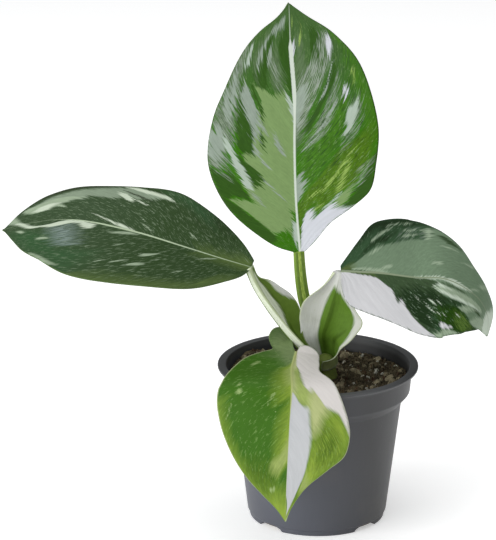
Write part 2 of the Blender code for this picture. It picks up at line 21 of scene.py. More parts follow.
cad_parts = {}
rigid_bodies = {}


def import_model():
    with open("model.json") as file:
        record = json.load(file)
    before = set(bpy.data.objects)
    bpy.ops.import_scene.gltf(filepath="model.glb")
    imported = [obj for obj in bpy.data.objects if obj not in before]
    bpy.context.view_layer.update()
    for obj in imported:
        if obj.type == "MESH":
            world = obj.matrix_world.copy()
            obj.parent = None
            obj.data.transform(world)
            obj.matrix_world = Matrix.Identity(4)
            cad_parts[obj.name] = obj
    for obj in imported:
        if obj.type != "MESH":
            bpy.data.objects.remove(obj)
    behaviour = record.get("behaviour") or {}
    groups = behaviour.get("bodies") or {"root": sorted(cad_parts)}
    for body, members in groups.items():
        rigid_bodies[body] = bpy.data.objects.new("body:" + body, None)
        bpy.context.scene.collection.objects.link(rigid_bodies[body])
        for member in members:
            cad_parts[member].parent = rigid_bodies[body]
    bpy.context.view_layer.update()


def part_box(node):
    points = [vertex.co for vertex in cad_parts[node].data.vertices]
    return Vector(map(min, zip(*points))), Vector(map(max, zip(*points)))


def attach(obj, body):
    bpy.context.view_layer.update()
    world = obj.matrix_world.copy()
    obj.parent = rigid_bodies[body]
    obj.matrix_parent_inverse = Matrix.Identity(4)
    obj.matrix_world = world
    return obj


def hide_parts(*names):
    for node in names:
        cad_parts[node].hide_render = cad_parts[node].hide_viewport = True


Colour = tuple[float, float, float]
Place = tuple[float, float, float]
Spot = tuple[float, float]
Faces = list[tuple[int, ...]]
Fields = dict[str, np.ndarray]
Mapping = Callable[[np.ndarray], np.ndarray]

BODY = "root"
MM = 0.001
SEED_STEP = 97.0
SIDE_STEP = 41.0
RIB_REACH = 0.06
OUTSIDE = -20.0
LOG = logging.getLogger("potted_philodendron")


class Tone(Enum):
    """The colours of a variegated leaf, in the order in which they are laid over each other.

    On some leaves and stalks a tone also carries a painted highlight, painted light or painted shade.
    """

    SAGE = "sage"
    LIME = "lime"
    GREEN = "green"
    DARK = "dark"
    HAZE = "haze"
    MIST = "mist"
    INK = "ink"
    SILVER = "silver"
    GOLD = "gold"
    CREAM = "cream"
    BLUSH = "blush"
    WHITE = "white"


class Face(Enum):
    """Which side of a blade or gutter a marking lies on."""

    UPPER = "upper"
    LOWER = "lower"
    BOTH = "both"


class Wire:
    """One output socket, which plain arithmetic can build on."""

    def __init__(self, graph: Graph, socket: bpy.types.NodeSocket) -> None:
        """Keeps the socket and the graph that it belongs to."""
        self.graph = graph
        self.socket = socket

    def __add__(self, other: Value) -> Wire:
        """The sum."""
        return self.graph.math("ADD", self, other)

    def __sub__(self, other: Value) -> Wire:
        """The difference."""
        return self.graph.math("SUBTRACT", self, other)

    def __rsub__(self, other: Value) -> Wire:
        """The difference, from a plain number."""
        return self.graph.math("SUBTRACT", other, self)

    def __mul__(self, other: Value) -> Wire:
        """The product."""
        return self.graph.math("MULTIPLY", self, other)

    __radd__ = __add__
    __rmul__ = __mul__


Value = Wire | float


class Graph:
    """A node tree, with short ways to make its nodes."""

    def __init__(self, tree: bpy.types.NodeTree) -> None:
        """Keeps the tree."""
        self.tree = tree

    def node(
        self, kind: str, settings: dict[str, Any] | None = None, inputs: dict[str | int, Any] | None = None
    ) -> bpy.types.Node:
        """Makes one node.

        Args:
            kind: The node's type name.
            settings: Its properties, set before its sockets.
            inputs: A value or a Wire for each socket, by name or index.

        Returns:
            The new node.
        """
        made = self.tree.nodes.new(kind)
        for key, value in (settings or {}).items():
            setattr(made, key, value)
        for key, value in (inputs or {}).items():
            self.feed(made.inputs[key], value)
        return made

    def wire(
        self,
        kind: str,
        settings: dict[str, Any] | None = None,
        inputs: dict[str | int, Any] | None = None,
        output: str | int = 0,
    ) -> Wire:
        """One output, by name or index, of a new node."""
        return Wire(self, self.node(kind, settings, inputs).outputs[output])

    def feed(self, socket: bpy.types.NodeSocket, value: Any) -> None:
        """Links a Wire to a socket, or sets a plain value on it.

        Args:
            socket: The socket.
            value: A Wire, a number, a vector, or a colour without alpha.
        """
        if isinstance(value, Wire):
            self.tree.links.new(value.socket, socket)
        elif socket.type == "RGBA" and len(value) == 3:
            socket.default_value = (*value, 1.0)
        else:
            socket.default_value = value

    def math(self, operation: str, *values: Value, clamp: bool = False) -> Wire:
        """A Math node's result."""
        settings = {"operation": operation, "use_clamp": clamp}
        return self.wire("ShaderNodeMath", settings, dict(enumerate(values)))

    def ramped(self, value: Value, width: float) -> Wire:
        """0 well below zero and 1 well above it, rising over a width about zero."""
        return self.math("MULTIPLY_ADD", value, 1.0 / width, 0.5, clamp=True)

    def mix(self, low: Any, high: Any, factor: Value) -> Wire:
        """A colour between two others."""
        settings = {"data_type": "RGBA", "clamp_factor": True}
        return self.wire("ShaderNodeMix", settings, {0: factor, 6: low, 7: high}, 2)

    def vector(self, operation: str, inputs: dict[str | int, Any], output: str | int = 0) -> Wire:
        """A Vector Math node's result."""
        return self.wire("ShaderNodeVectorMath", {"operation": operation}, inputs, output)

    def scaled(self, colour: Any, amount: Value) -> Wire:
        """A colour or vector times a number."""
        return self.vector("SCALE", {0: colour, "Scale": amount})

    def stretched(self, place: Wire, factors: Place) -> Wire:
        """A place with each coordinate times its own factor."""
        return self.vector("MULTIPLY", {0: place, 1: factors})

    def along(self, place: Wire, direction: Place) -> Wire:
        """How far a place lies in a direction."""
        return self.vector("DOT_PRODUCT", {0: place, 1: direction}, "Value")

    def noise(self, place: Wire, scale: float = 1.0, detail: float = 3.0, roughness: float = 0.5) -> Wire:
        """Smooth noise between 0 and 1."""
        inputs = {"Vector": place, "Scale": scale, "Detail": detail, "Roughness": roughness}
        return self.wire("ShaderNodeTexNoise", None, inputs, "Fac")

    def attribute(self, name: str, output: str = "Fac") -> Wire:
        """A number, or with the output "Vector" a place, that the mesh carries."""
        return self.wire("ShaderNodeAttribute", {"attribute_name": name}, None, output)

    def object_place(self) -> Wire:
        """The place on the object, in metres."""
        return self.wire("ShaderNodeTexCoord", output="Object")


@dataclass(frozen=True)
class Surface:
    """What every finish shares: its shader's plain settings."""

    roughness: float = 0.5
    specular: float = 0.12
    bump: float = 0.3
    bump_depth: float = 0.0002

    def material(self, name: str) -> bpy.types.Material:
        """The finished material.

        Args:
            name: The material's name.

        Returns:
            The material, with this finish on its shader.
        """
        material = bpy.data.materials.new(name)
        material.use_nodes = True
        shader = next(node for node in material.node_tree.nodes if node.type == "BSDF_PRINCIPLED")
        shader.inputs["Roughness"].default_value = self.roughness
        shader.inputs["Specular IOR Level"].default_value = self.specular
        self.dress(Graph(material.node_tree), shader)
        return material

    def dress(self, graph: Graph, shader: bpy.types.Node) -> None:
        """Feeds the finish's pattern to the shader."""
        raise NotImplementedError

    def raise_bump(self, graph: Graph, shader: bpy.types.Node, height: Wire) -> None:
        """Feeds a height to the shader's normal."""
        inputs = {"Strength": self.bump, "Distance": self.bump_depth, "Height": height}
        graph.feed(shader.inputs["Normal"], graph.wire("ShaderNodeBump", None, inputs))


@dataclass(frozen=True)
class PaleFloor(Surface):
    """The studio floor: matt, and bright enough to vanish into the background."""

    roughness: float = 0.9
    specular: float = 0.1
    colour: Colour = (0.93, 0.93, 0.93)
    glow: float = 0.4

    def dress(self, graph: Graph, shader: bpy.types.Node) -> None:
        """Sets the floor's colour and its faint glow."""
        graph.feed(shader.inputs["Base Color"], self.colour)
        graph.feed(shader.inputs["Emission Color"], (1.0, 1.0, 1.0))
        graph.feed(shader.inputs["Emission Strength"], self.glow)


@dataclass(frozen=True)
class Tint:
    """One tone of a leaf.

    blur_mm and jag_mm say how softly and how raggedly its border runs, mottle how much its shade varies,
    broken how far threads of the ground break it, and flecked how strongly the pale flecks show on it.
    """

    colour: Colour
    blur_mm: float = 0.5
    jag_mm: float = 3.0
    mottle: float = 0.12
    broken: float = 0.0
    flecked: float = 0.0


@dataclass(frozen=True)
class Weave:
    """Noise drawn out along the veins, with its swings in a millimetre across and along them."""

    across: float
    along: float
    detail: float = 2.0
    roughness: float = 0.5

    def on(self, graph: Graph, grain: Wire) -> Wire:
        """The noise, between 0 and 1."""
        place = graph.stretched(grain, (self.across, self.along, 1.0))
        return graph.noise(place, 1.0, self.detail, self.roughness)


@dataclass(frozen=True)
class PlantSkin(Surface):
    """A leaf's or stalk's surface: a ground colour, tones laid over it, veins, flecks and edges.

    fresh is the ground's colour near the base and deep near the tip. Shares say how strongly a colour
    shows, and fleck_rarity is the height of the noise above which a fleck starts.
    """

    fresh: Colour = (0.05, 0.16, 0.01)
    deep: Colour = (0.05, 0.11, 0.03)
    fleck: Colour = (0.20, 0.30, 0.12)
    fleck_share: float = 0.35
    fleck_rarity: float = 0.60
    rib: Colour = (0.45, 0.56, 0.40)
    edge: Colour = (0.04, 0.08, 0.02)
    edge_mm: float = 0.5
    edge_share: float = 0.8
    under: Colour = (0.20, 0.28, 0.12)
    under_share: float = 0.55
    across_mm: float = 1.1
    along_mm: float = 9.0
    tints: dict[Tone, Tint] = field(default_factory=dict)

    CLOUDS = Weave(0.11, 0.05)
    THREADS = Weave(1.3, 0.14, 3.0, 0.6)
    PORES = Weave(2.4, 1.6)
    MOTTLE = Weave(0.8, 0.3, 4.0, 0.65)
    DASHES = Weave(0.85, 0.30, 4.0, 0.65)
    CLOUDINESS = 0.9
    FLECK_BLUR = 0.06
    THREAD_BLUR = 0.12
    EDGE_BLUR_MM = 0.4
    RIB_BLUR_MM = 0.5

    def dress(self, graph: Graph, shader: bpy.types.Node) -> None:
        """Lays the ground, the tones, the veins and the under side's colour over each other.

        Args:
            graph: The material's graph. The mesh carries the attributes that it reads: grain, age, rib,
                edge, upper and one for each tone.
            shader: The material's shader.
        """
        grain = graph.attribute("grain", "Vector")
        streaks = Weave(1 / self.across_mm, 1 / self.along_mm, 4.0).on(graph, grain)
        weaves = (self.CLOUDS, self.THREADS, self.PORES, self.MOTTLE, self.DASHES)
        clouds, threads, pores, mottle, dashes = (weave.on(graph, grain) for weave in weaves)
        age = graph.attribute("age") + (clouds - 0.5) * self.CLOUDINESS
        flecks = graph.ramped(dashes - self.fleck_rarity, self.FLECK_BLUR) * self.fleck_share
        colour = graph.mix(graph.mix(self.fresh, self.deep, age), self.fleck, flecks)
        edge = graph.ramped(self.edge_mm - graph.attribute("edge"), self.EDGE_BLUR_MM) * self.edge_share
        for tone in Tone:
            if tone is Tone.SILVER:
                colour = graph.mix(colour, self.edge, edge)
            if tone not in self.tints:
                continue
            tint = self.tints[tone]
            depth = graph.attribute(tone.value) + (streaks - 0.5) * (2 * tint.jag_mm)
            shade = graph.scaled(tint.colour, (mottle - 0.5) * (4 * tint.mottle) + 1.0)
            if tint.flecked:
                shade = graph.mix(shade, self.fleck, flecks * tint.flecked)
            share = graph.ramped(depth, tint.blur_mm)
            if tint.broken:
                share = share * graph.ramped(threads - tint.broken, self.THREAD_BLUR)
            colour = graph.mix(colour, shade, share)
        colour = graph.scaled(colour, 0.84 + (streaks * 0.20 + clouds * 0.12))
        rib = graph.ramped(graph.attribute("rib") + (streaks - 0.5) * self.RIB_BLUR_MM, self.RIB_BLUR_MM)
        upper = graph.attribute("upper")
        below = (1.0 - upper) * self.under_share
        colour = graph.mix(graph.mix(colour, self.rib, rib * upper), self.under, below)
        graph.feed(shader.inputs["Base Color"], colour)
        graph.feed(shader.inputs["Roughness"], below * 0.3 + (self.roughness - 0.06) + clouds * 0.14)
        self.raise_bump(graph, shader, streaks * 0.6 + pores * 0.4)

    def tone_fields(
        self,
        markings: Sequence[Marking],
        places: np.ndarray,
        mapped: Mapping,
        columns: np.ndarray | None = None,
    ) -> Fields:
        """How deep inside each tone's markings the points of two alike faces lie.

        Args:
            markings: All the markings.
            places: The grain places of one face's points.
            mapped: What maps a marking's spots to the grain.
            columns: Each point's column, where markings keep to their own side of a midrib.

        Returns:
            One field for each tone, for the upper face's points and then the lower face's.
        """
        fields = {}
        for tone in self.tints:
            faces = {face: np.full(len(places), OUTSIDE) for face in (Face.UPPER, Face.LOWER)}
            for marking in (each for each in markings if each.tone is tone):
                depth = marking.depth(places, mapped)
                if columns is not None and marking.side:
                    depth = np.where(columns * marking.side >= -1e-6, depth, OUTSIDE)
                for face, deepest in faces.items():
                    if marking.face in (face, Face.BOTH):
                        np.maximum(deepest, depth, out=deepest)
            fields[tone.value] = np.clip(np.concatenate(list(faces.values())), OUTSIDE, -OUTSIDE)
        return fields


@dataclass(frozen=True)
class Plastic(Surface):
    """Moulded plastic: fine grain, drag marks down the wall and soil dust, with painted light: one side
    painted lighter and bluer, and a painted highlight on the lip.
    """

    roughness: float = 0.48
    specular: float = 0.60
    colour: Colour = (0.0180, 0.0187, 0.0202)
    # Painted light: the side towards the lamps gets this lighter, bluer colour, blended in along the
    # direction below.
    lit_side_colour: Colour = (0.062, 0.067, 0.086)
    lit_side_direction: Place = (-0.9, -0.4, -0.2)
    lit_side_from: float = 0.003
    lit_side_over: float = 0.055
    # Painted highlight: a lighter band round the top of the lip, from lip_height up.
    lip: Colour = (0.056, 0.058, 0.061)
    lip_height: float = 0.0915
    lip_blur: float = 0.002
    dust: Colour = (0.10, 0.085, 0.07)
    drag_scale: Place = (420.0, 420.0, 18.0)
    grain_scale: float = 2600.0
    speck_scale: float = 900.0
    cloud_scale: float = 38.0

    def dress(self, graph: Graph, shader: bpy.types.Node) -> None:
        """Feeds the painted light on one side and on the lip, the dust and the fine relief to the shader.

        Args:
            graph: The material's graph.
            shader: The material's shader.
        """
        place = graph.object_place()
        grain = graph.noise(place, self.grain_scale, 2)
        drag = graph.noise(graph.stretched(place, self.drag_scale), 1.0, 3)
        clouds = graph.noise(place, self.cloud_scale, 3)
        # Painted light: one side of the pot painted lighter and bluer, where the lamps fall on it.
        painted_light = graph.ramped(graph.along(place, self.lit_side_direction) - self.lit_side_from, self.lit_side_over)
        # Painted highlight on the lip.
        lip = graph.ramped(graph.along(place, (0.0, 0.0, 1.0)) - self.lip_height, self.lip_blur)
        colour = graph.mix(graph.mix(self.colour, self.lit_side_colour, painted_light), self.lip, lip)
        colour = graph.scaled(colour, 0.82 + (drag * 0.14 + clouds * 0.22))
        specks = graph.ramped(graph.noise(place, self.speck_scale, 2) - 0.74, 0.05)
        colour = graph.mix(colour, self.dust, specks * 0.5 + graph.ramped(clouds - 0.66, 0.2) * 0.15)
        graph.feed(shader.inputs["Base Color"], colour)
        graph.feed(shader.inputs["Roughness"], (self.roughness - 0.08) + clouds * 0.12 + drag * 0.06)
        self.raise_bump(graph, shader, grain * 0.5 + drag * 0.5)


@dataclass(frozen=True)
class Earth(Surface):
    """Loose natural stuff with two tones and a rough grain."""

    roughness: float = 0.9
    light: Colour = (0.130, 0.105, 0.062)
    dark: Colour = (0.016, 0.012, 0.008)
    grain_scale: float = 600.0

    def dress(self, graph: Graph, shader: bpy.types.Node) -> None:
        """Mixes the two tones by a fine and a broad noise, and lets the fine one stand up."""
        place = graph.object_place()
        fine = graph.noise(place, self.grain_scale, 4, 0.65)
        broad = graph.noise(place, self.grain_scale / 6, 3)
        colour = graph.mix(self.dark, self.light, graph.ramped(fine * 0.6 + broad * 0.4 - 0.5, 0.3))
        graph.feed(shader.inputs["Base Color"], colour)
        self.raise_bump(graph, shader, fine)


@dataclass(frozen=True)
class Marking:
    """A marking on a blade or stalk, through spots in percent.

    A spot is (row, column) on a blade: rows run from base to tip, and columns from the midrib out to the
    margins, above zero on the left. On a stalk it is (along, across), with the margins at -100 and 100.
    """

    tone: Tone
    spots: tuple[Spot, ...]
    face: Face = field(default=Face.BOTH, kw_only=True)

    @property
    def places(self) -> np.ndarray:
        """The spots as fractions."""
        return np.array(self.spots, float) / 100

    @property
    def side(self) -> int:
        """1 or -1 where the marking keeps to one side of the midrib, and 0 where it crosses it."""
        columns = self.places[:, 1]
        if columns.min() > -RIB_REACH:
            return 1
        return -1 if columns.max() < RIB_REACH else 0

    def depth(self, places: np.ndarray, mapped: Mapping) -> np.ndarray:
        """How far inside the marking each place lies.

        Args:
            places: The places, already mapped to the grain.
            mapped: What maps the marking's own places to the grain.

        Returns:
            One depth for each place in millimetres of the grain, negative outside.
        """
        raise NotImplementedError

    @staticmethod
    def from_run(places: np.ndarray, start: np.ndarray, end: np.ndarray) -> tuple[np.ndarray, np.ndarray]:
        """Distance of each place from a straight run, and the share of the run where it is nearest."""
        run = end - start
        share = np.clip((places - start) @ run / max(run @ run, 1e-12), 0.0, 1.0)
        return np.linalg.norm(places - start - share[:, None] * run, axis=1), share


@dataclass(frozen=True)
class Patch(Marking):
    """A marking whose spots are its outline."""

    def spread(self) -> np.ndarray:
        """The outline, carried past the midrib where it reaches that, so that no border shows there.

        An outline that crosses the midrib gets a corner there, because the side veins bend there.

        Returns:
            The outline's corners as fractions.
        """
        corners = self.places
        if self.side:
            at_rib = corners[:, 1] * self.side < RIB_REACH
            corners[at_rib, 1] = -4 * RIB_REACH * self.side
            return corners
        whole = []
        for start, end in zip(corners, np.roll(corners, -1, axis=0)):
            whole.append(start)
            if start[1] * end[1] < 0:
                whole.append(start + (end - start) * start[1] / (start[1] - end[1]))
        return np.array(whole)

    def depth(self, places: np.ndarray, mapped: Mapping) -> np.ndarray:
        """How far inside the outline each place lies, as Marking.depth says."""
        corners = mapped(self.spread())
        nearest = np.full(len(places), np.inf)
        inside = np.zeros(len(places), bool)
        for start, end in zip(corners, np.roll(corners, -1, axis=0)):
            nearest = np.minimum(nearest, self.from_run(places, start, end)[0])
            crosses = (start[1] > places[:, 1]) != (end[1] > places[:, 1])
            rise = end[1] - start[1] if end[1] != start[1] else 1e-9
            side = start[0] + (places[:, 1] - start[1]) * (end[0] - start[0]) / rise
            inside ^= crosses & (places[:, 0] < side)
        return np.where(inside, nearest, -nearest)


@dataclass(frozen=True)
class Stroke(Marking):
    """A marking along a line of spots, widest in its middle."""

    width_mm: float = 1.5

    def depth(self, places: np.ndarray, mapped: Mapping) -> np.ndarray:
        """How far inside the stroke each place lies, as Marking.depth says."""
        points = mapped(self.places)
        deepest = np.full(len(places), -np.inf)
        runs = len(points) - 1
        for index in range(runs):
            away, share = self.from_run(places, points[index], points[index + 1])
            fullness = np.sqrt(np.sin(np.pi * np.clip((index + share) / runs, 0.02, 0.98)))
            deepest = np.maximum(deepest, 0.5 * self.width_mm * fullness - away)
        return deepest


class Spline:
    """Smooth curves through a few points."""

    DENSE = 400

    @staticmethod
    def through(knots: Any, values: Any, at: Any) -> np.ndarray:
        """The smooth curve through values at knots.

        Args:
            knots: Where the values stand, in rising order.
            values: One number or vector for each knot.
            at: Where the curve is read.

        Returns:
            One value for each place in at.
        """
        knots = np.asarray(knots, float)
        values = np.asarray(values, float)
        slopes = np.gradient(values, knots, axis=0)
        at = np.clip(np.asarray(at, float), knots[0], knots[-1])
        low = np.clip(np.searchsorted(knots, at, side="right") - 1, 0, len(knots) - 2)
        span = knots[low + 1] - knots[low]
        shape = (slice(None),) + (None,) * (values.ndim - 1)
        t = ((at - knots[low]) / span)[shape]
        span = span[shape]
        start = (2 * t**3 - 3 * t**2 + 1) * values[low] + (t**3 - 2 * t**2 + t) * span * slopes[low]
        end = (3 * t**2 - 2 * t**3) * values[low + 1] + (t**3 - t**2) * span * slopes[low + 1]
        return start + end

    @staticmethod
    def along(points: Any) -> np.ndarray:
        """Distance along a run of points, from its first one."""
        steps = np.linalg.norm(np.diff(np.asarray(points, float), axis=0), axis=1)
        return np.concatenate([[0.0], np.cumsum(steps)])

    @classmethod
    def evenly(cls, points: Any, count: int = DENSE) -> np.ndarray:
        """Points at equal distances along the smooth curve through the given ones.

        Args:
            points: The points that the curve runs through.
            count: How many points are wanted.

        Returns:
            The wanted points, one row each.
        """
        knots = cls.along(points)
        dense = cls.through(knots, points, np.linspace(0.0, knots[-1], cls.DENSE))
        lengths = cls.along(dense)
        wanted = np.linspace(0.0, lengths[-1], count)
        return np.stack([np.interp(wanted, lengths, column) for column in dense.T], axis=-1)

    @staticmethod
    def unit(vectors: np.ndarray) -> np.ndarray:
        """The vectors at length one."""
        return vectors / np.linalg.norm(vectors, axis=-1, keepdims=True)

    @classmethod
    def carried(cls, tangents: np.ndarray, first: Any) -> np.ndarray:
        """A direction square to each tangent, carried along the curve without a twist.

        Args:
            tangents: The curve's directions.
            first: The direction at its start, or one near it.

        Returns:
            One direction of length one for each tangent.
        """
        across = np.empty_like(tangents)
        direction = np.asarray(first, float)
        for index, tangent in enumerate(tangents):
            direction = cls.unit(direction - tangent * (direction @ tangent))
            across[index] = direction
        return across

    @staticmethod
    def eased(values: Sequence[float], share: np.ndarray) -> np.ndarray:
        """The parabola through three values at the start, the middle and the end."""
        first, middle, last = values
        start = first * (1 - share) * (1 - 2 * share)
        return start + 4 * middle * share * (1 - share) + last * share * (2 * share - 1)


class Maker:
    """Turns arrays into finished pieces of the scene."""

    MERGE = 1e-6

    def __init__(self, collection: bpy.types.Collection) -> None:
        """Keeps the collection that pieces go in."""
        self.collection = collection

    def piece(self, name: str, mesh: bpy.types.Mesh) -> bpy.types.Object:
        """A new object for the mesh."""
        obj = bpy.data.objects.new(name, mesh)
        self.collection.objects.link(obj)
        return obj

    def skin(
        self, name: str, points: np.ndarray, faces: Iterable[Sequence[int]], fields: Fields
    ) -> bpy.types.Object:
        """A smooth closed piece whose points carry pattern fields.

        Args:
            name: The piece's name.
            points: Its points, one row each.
            faces: The point numbers round each face.
            fields: One number or vector for each point, by attribute name.

        Returns:
            The piece, with its doubles merged and its faces outward.
        """
        mesh = bpy.data.meshes.new(name)
        mesh.from_pydata(points.tolist(), [], list(faces))
        for key, values in fields.items():
            is_vector = values.ndim == 2
            layer = mesh.attributes.new(key, "FLOAT_VECTOR" if is_vector else "FLOAT", "POINT")
            layer.data.foreach_set("vector" if is_vector else "value", values.astype(np.float32).ravel())
        self.tidied(mesh)
        return self.piece(name, mesh)

    @classmethod
    def tidied(cls, mesh: bpy.types.Mesh) -> None:
        """Merges doubles, turns the faces outward and shades them smooth."""
        form = bmesh.new()
        form.from_mesh(mesh)
        bmesh.ops.remove_doubles(form, verts=form.verts, dist=cls.MERGE)
        bmesh.ops.dissolve_degenerate(form, edges=form.edges, dist=cls.MERGE)
        bmesh.ops.recalc_face_normals(form, faces=form.faces)
        form.to_mesh(mesh)
        form.free()
        mesh.shade_smooth()

    @staticmethod
    def baked(obj: bpy.types.Object) -> None:
        """Replaces the object's mesh by what its modifiers make of it."""
        graph = bpy.context.evaluated_depsgraph_get()
        mesh = bpy.data.meshes.new_from_object(obj.evaluated_get(graph))
        obj.modifiers.clear()
        obj.data = mesh

    @staticmethod
    def handed_over(
        obj: bpy.types.Object, slot: str, *nodes: str, material: bpy.types.Material | None = None
    ) -> None:
        """Dresses a finished piece, and ties it to its body and solids.

        Args:
            obj: The piece.
            slot: Not used.
            nodes: The solids that it stands for.
            material: Its material, unless its mesh has one.
        """
        if material:
            obj.data.materials.clear()
            obj.data.materials.append(material)
        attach(obj, BODY)
        if nodes:
            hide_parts(*nodes)
        triangles = sum(len(polygon.vertices) - 2 for polygon in obj.data.polygons)
        LOG.info("%s: %d triangles", obj.name, triangles)


def shell_faces(rows: int, columns: int) -> Faces:
    """The faces of a closed shell of two alike grids, the upper one first.

    Args:
        rows: How many points each grid has one way.
        columns: How many it has the other way.

    Returns:
        The point numbers round each face.
    """
    size = rows * columns
    grid = np.arange(size).reshape(rows, columns)
    quads = np.stack([grid[:-1, :-1], grid[1:, :-1], grid[1:, 1:], grid[:-1, 1:]], axis=-1).reshape(-1, 4)
    rim = np.concatenate([grid[0, :], grid[1:, -1], grid[-1, -2::-1], grid[-2:0:-1, 0]])
    after = np.roll(rim, -1)
    sides = np.stack([rim, after, after + size, rim + size], axis=-1)
    return [tuple(face) for face in np.concatenate([quads, quads[:, ::-1] + size, sides]).tolist()]


def face_fields(age: np.ndarray, rib: np.ndarray, edge: np.ndarray, grain: np.ndarray) -> Fields:
    """The plain pattern fields of two alike faces, the upper one first.

    Args:
        age: How far each point of one face lies from the base, from 0 to 1.
        rib: How deep it lies inside the midrib, in millimetres.
        edge: How far it lies from the margin, in millimetres.
        grain: Its place across and along the veins in millimetres, and a seed.

    Returns:
        The fields by attribute name, with one that tells the faces apart.
    """
    single = {"age": age, "rib": rib, "edge": edge, "grain": grain}
    both = {key: np.concatenate([values, values]) for key, values in single.items()}
    return both | {"upper": np.repeat([1.0, 0.0], len(age))}


@dataclass(frozen=True)
class BladeShape:
    """One leaf blade's form. An outline point is (distance along the midrib, distance out from it).

    left and right are seen from the base, with the face up. fold and droop are degrees at the base,
    the middle and the tip; droop is the turn in Sheet.DROOP_WIDTH.
    """

    midrib: tuple[Place, ...]
    face: Place
    left: tuple[Spot, ...]
    right: tuple[Spot, ...]
    fold_left: Place = (6.0, 4.0, 0.0)
    fold_right: Place = (6.0, 4.0, 0.0)
    droop_left: Place = (-10.0, -10.0, 0.0)
    droop_right: Place = (-10.0, -10.0, 0.0)
    lobe_rise: float = 0.0
    wave: float = 0.0006
    wave_count: float = 3.0


class Sheet:
    """A blade as a bent sheet: it turns a place on the flat blade into a point in space."""

    ROW_CROWDING = 1.35
    MARGIN_CROWDING = 1.2
    ROW_SWEEP = 1.5
    DROOP_WIDTH = 0.050
    NEARLY_FLAT = 0.001

    def __init__(self, shape: BladeShape) -> None:
        """Works out the midrib's directions and the margins of a shape."""
        self.shape = shape
        self.rib = Spline.evenly(shape.midrib)
        self.length = float(Spline.along(self.rib)[-1])
        self.tangents = Spline.unit(np.gradient(self.rib, axis=0))
        self.lefts = Spline.carried(self.tangents, Spline.unit(np.cross(shape.face, self.tangents[0])))
        self.left_margin = Spline.evenly((*shape.left, (self.length, 0.0)))
        self.right_margin = Spline.evenly((*shape.right, (self.length, 0.0)))

    def on_flat(self, row: np.ndarray, column: np.ndarray) -> tuple[np.ndarray, np.ndarray]:
        """A place's distances along and out from the midrib. Rows run as the side veins do.

        Args:
            row: Its share of the way from base to tip.
            column: Its share of the way from midrib to margin, above zero on the left.

        Returns:
            The distance along the midrib and the distance out, above zero on the left.
        """
        reach = np.abs(column)
        shares = np.linspace(0.0, 1.0, Spline.DENSE)
        at_margin = row**self.MARGIN_CROWDING
        margins = zip(self.left_margin.T, self.right_margin.T)
        station, out = (
            np.where(column >= 0, np.interp(at_margin, shares, left), np.interp(at_margin, shares, right))
            for left, right in margins
        )
        start = self.length * row**self.ROW_CROWDING
        return start + (station - start) * reach**self.ROW_SWEEP, out * reach * np.where(column >= 0, 1, -1)

    def in_space(
        self, station: np.ndarray, out: np.ndarray, row: np.ndarray, reach: np.ndarray
    ) -> np.ndarray:
        """The point of the bent sheet at a place of the flat one.

        Args:
            station: Distance along the midrib.
            out: Distance out from it, positive to the left.
            row: The place's share along the rows.
            reach: The place's share of the way to the margin.

        Returns:
            The points.
        """
        shape = self.shape
        on_rib = np.clip(station, 0.0, self.length)
        share = on_rib / self.length
        places = np.linspace(0.0, self.length, Spline.DENSE)
        point, tangent, left = (
            np.stack([np.interp(on_rib, places, column) for column in table.T], axis=-1)
            for table in (self.rib, self.tangents, self.lefts)
        )
        tangent = Spline.unit(tangent)
        left = Spline.unit(left)
        up = np.cross(tangent, left)
        is_left = out >= 0
        eased = Spline.eased
        fold = np.radians(np.where(is_left, eased(shape.fold_left, share), eased(shape.fold_right, share)))
        droop = np.where(is_left, eased(shape.droop_left, share), eased(shape.droop_right, share))
        bend = np.radians(droop) / self.DROOP_WIDTH
        bend = np.where(np.abs(bend) < self.NEARLY_FLAT, self.NEARLY_FLAT, bend)
        size = np.abs(out)
        across = (np.sin(fold + bend * size) - np.sin(fold)) / bend
        height = (np.cos(fold) - np.cos(fold + bend * size)) / bend
        height = height - shape.lobe_rise * np.minimum(station, 0.0)
        height = height + shape.wave * reach**3 * np.sin(2 * np.pi * shape.wave_count * row + is_left)
        beyond = (station - on_rib)[..., None]
        return point + beyond * tangent + (np.sign(out) * across)[..., None] * left + height[..., None] * up


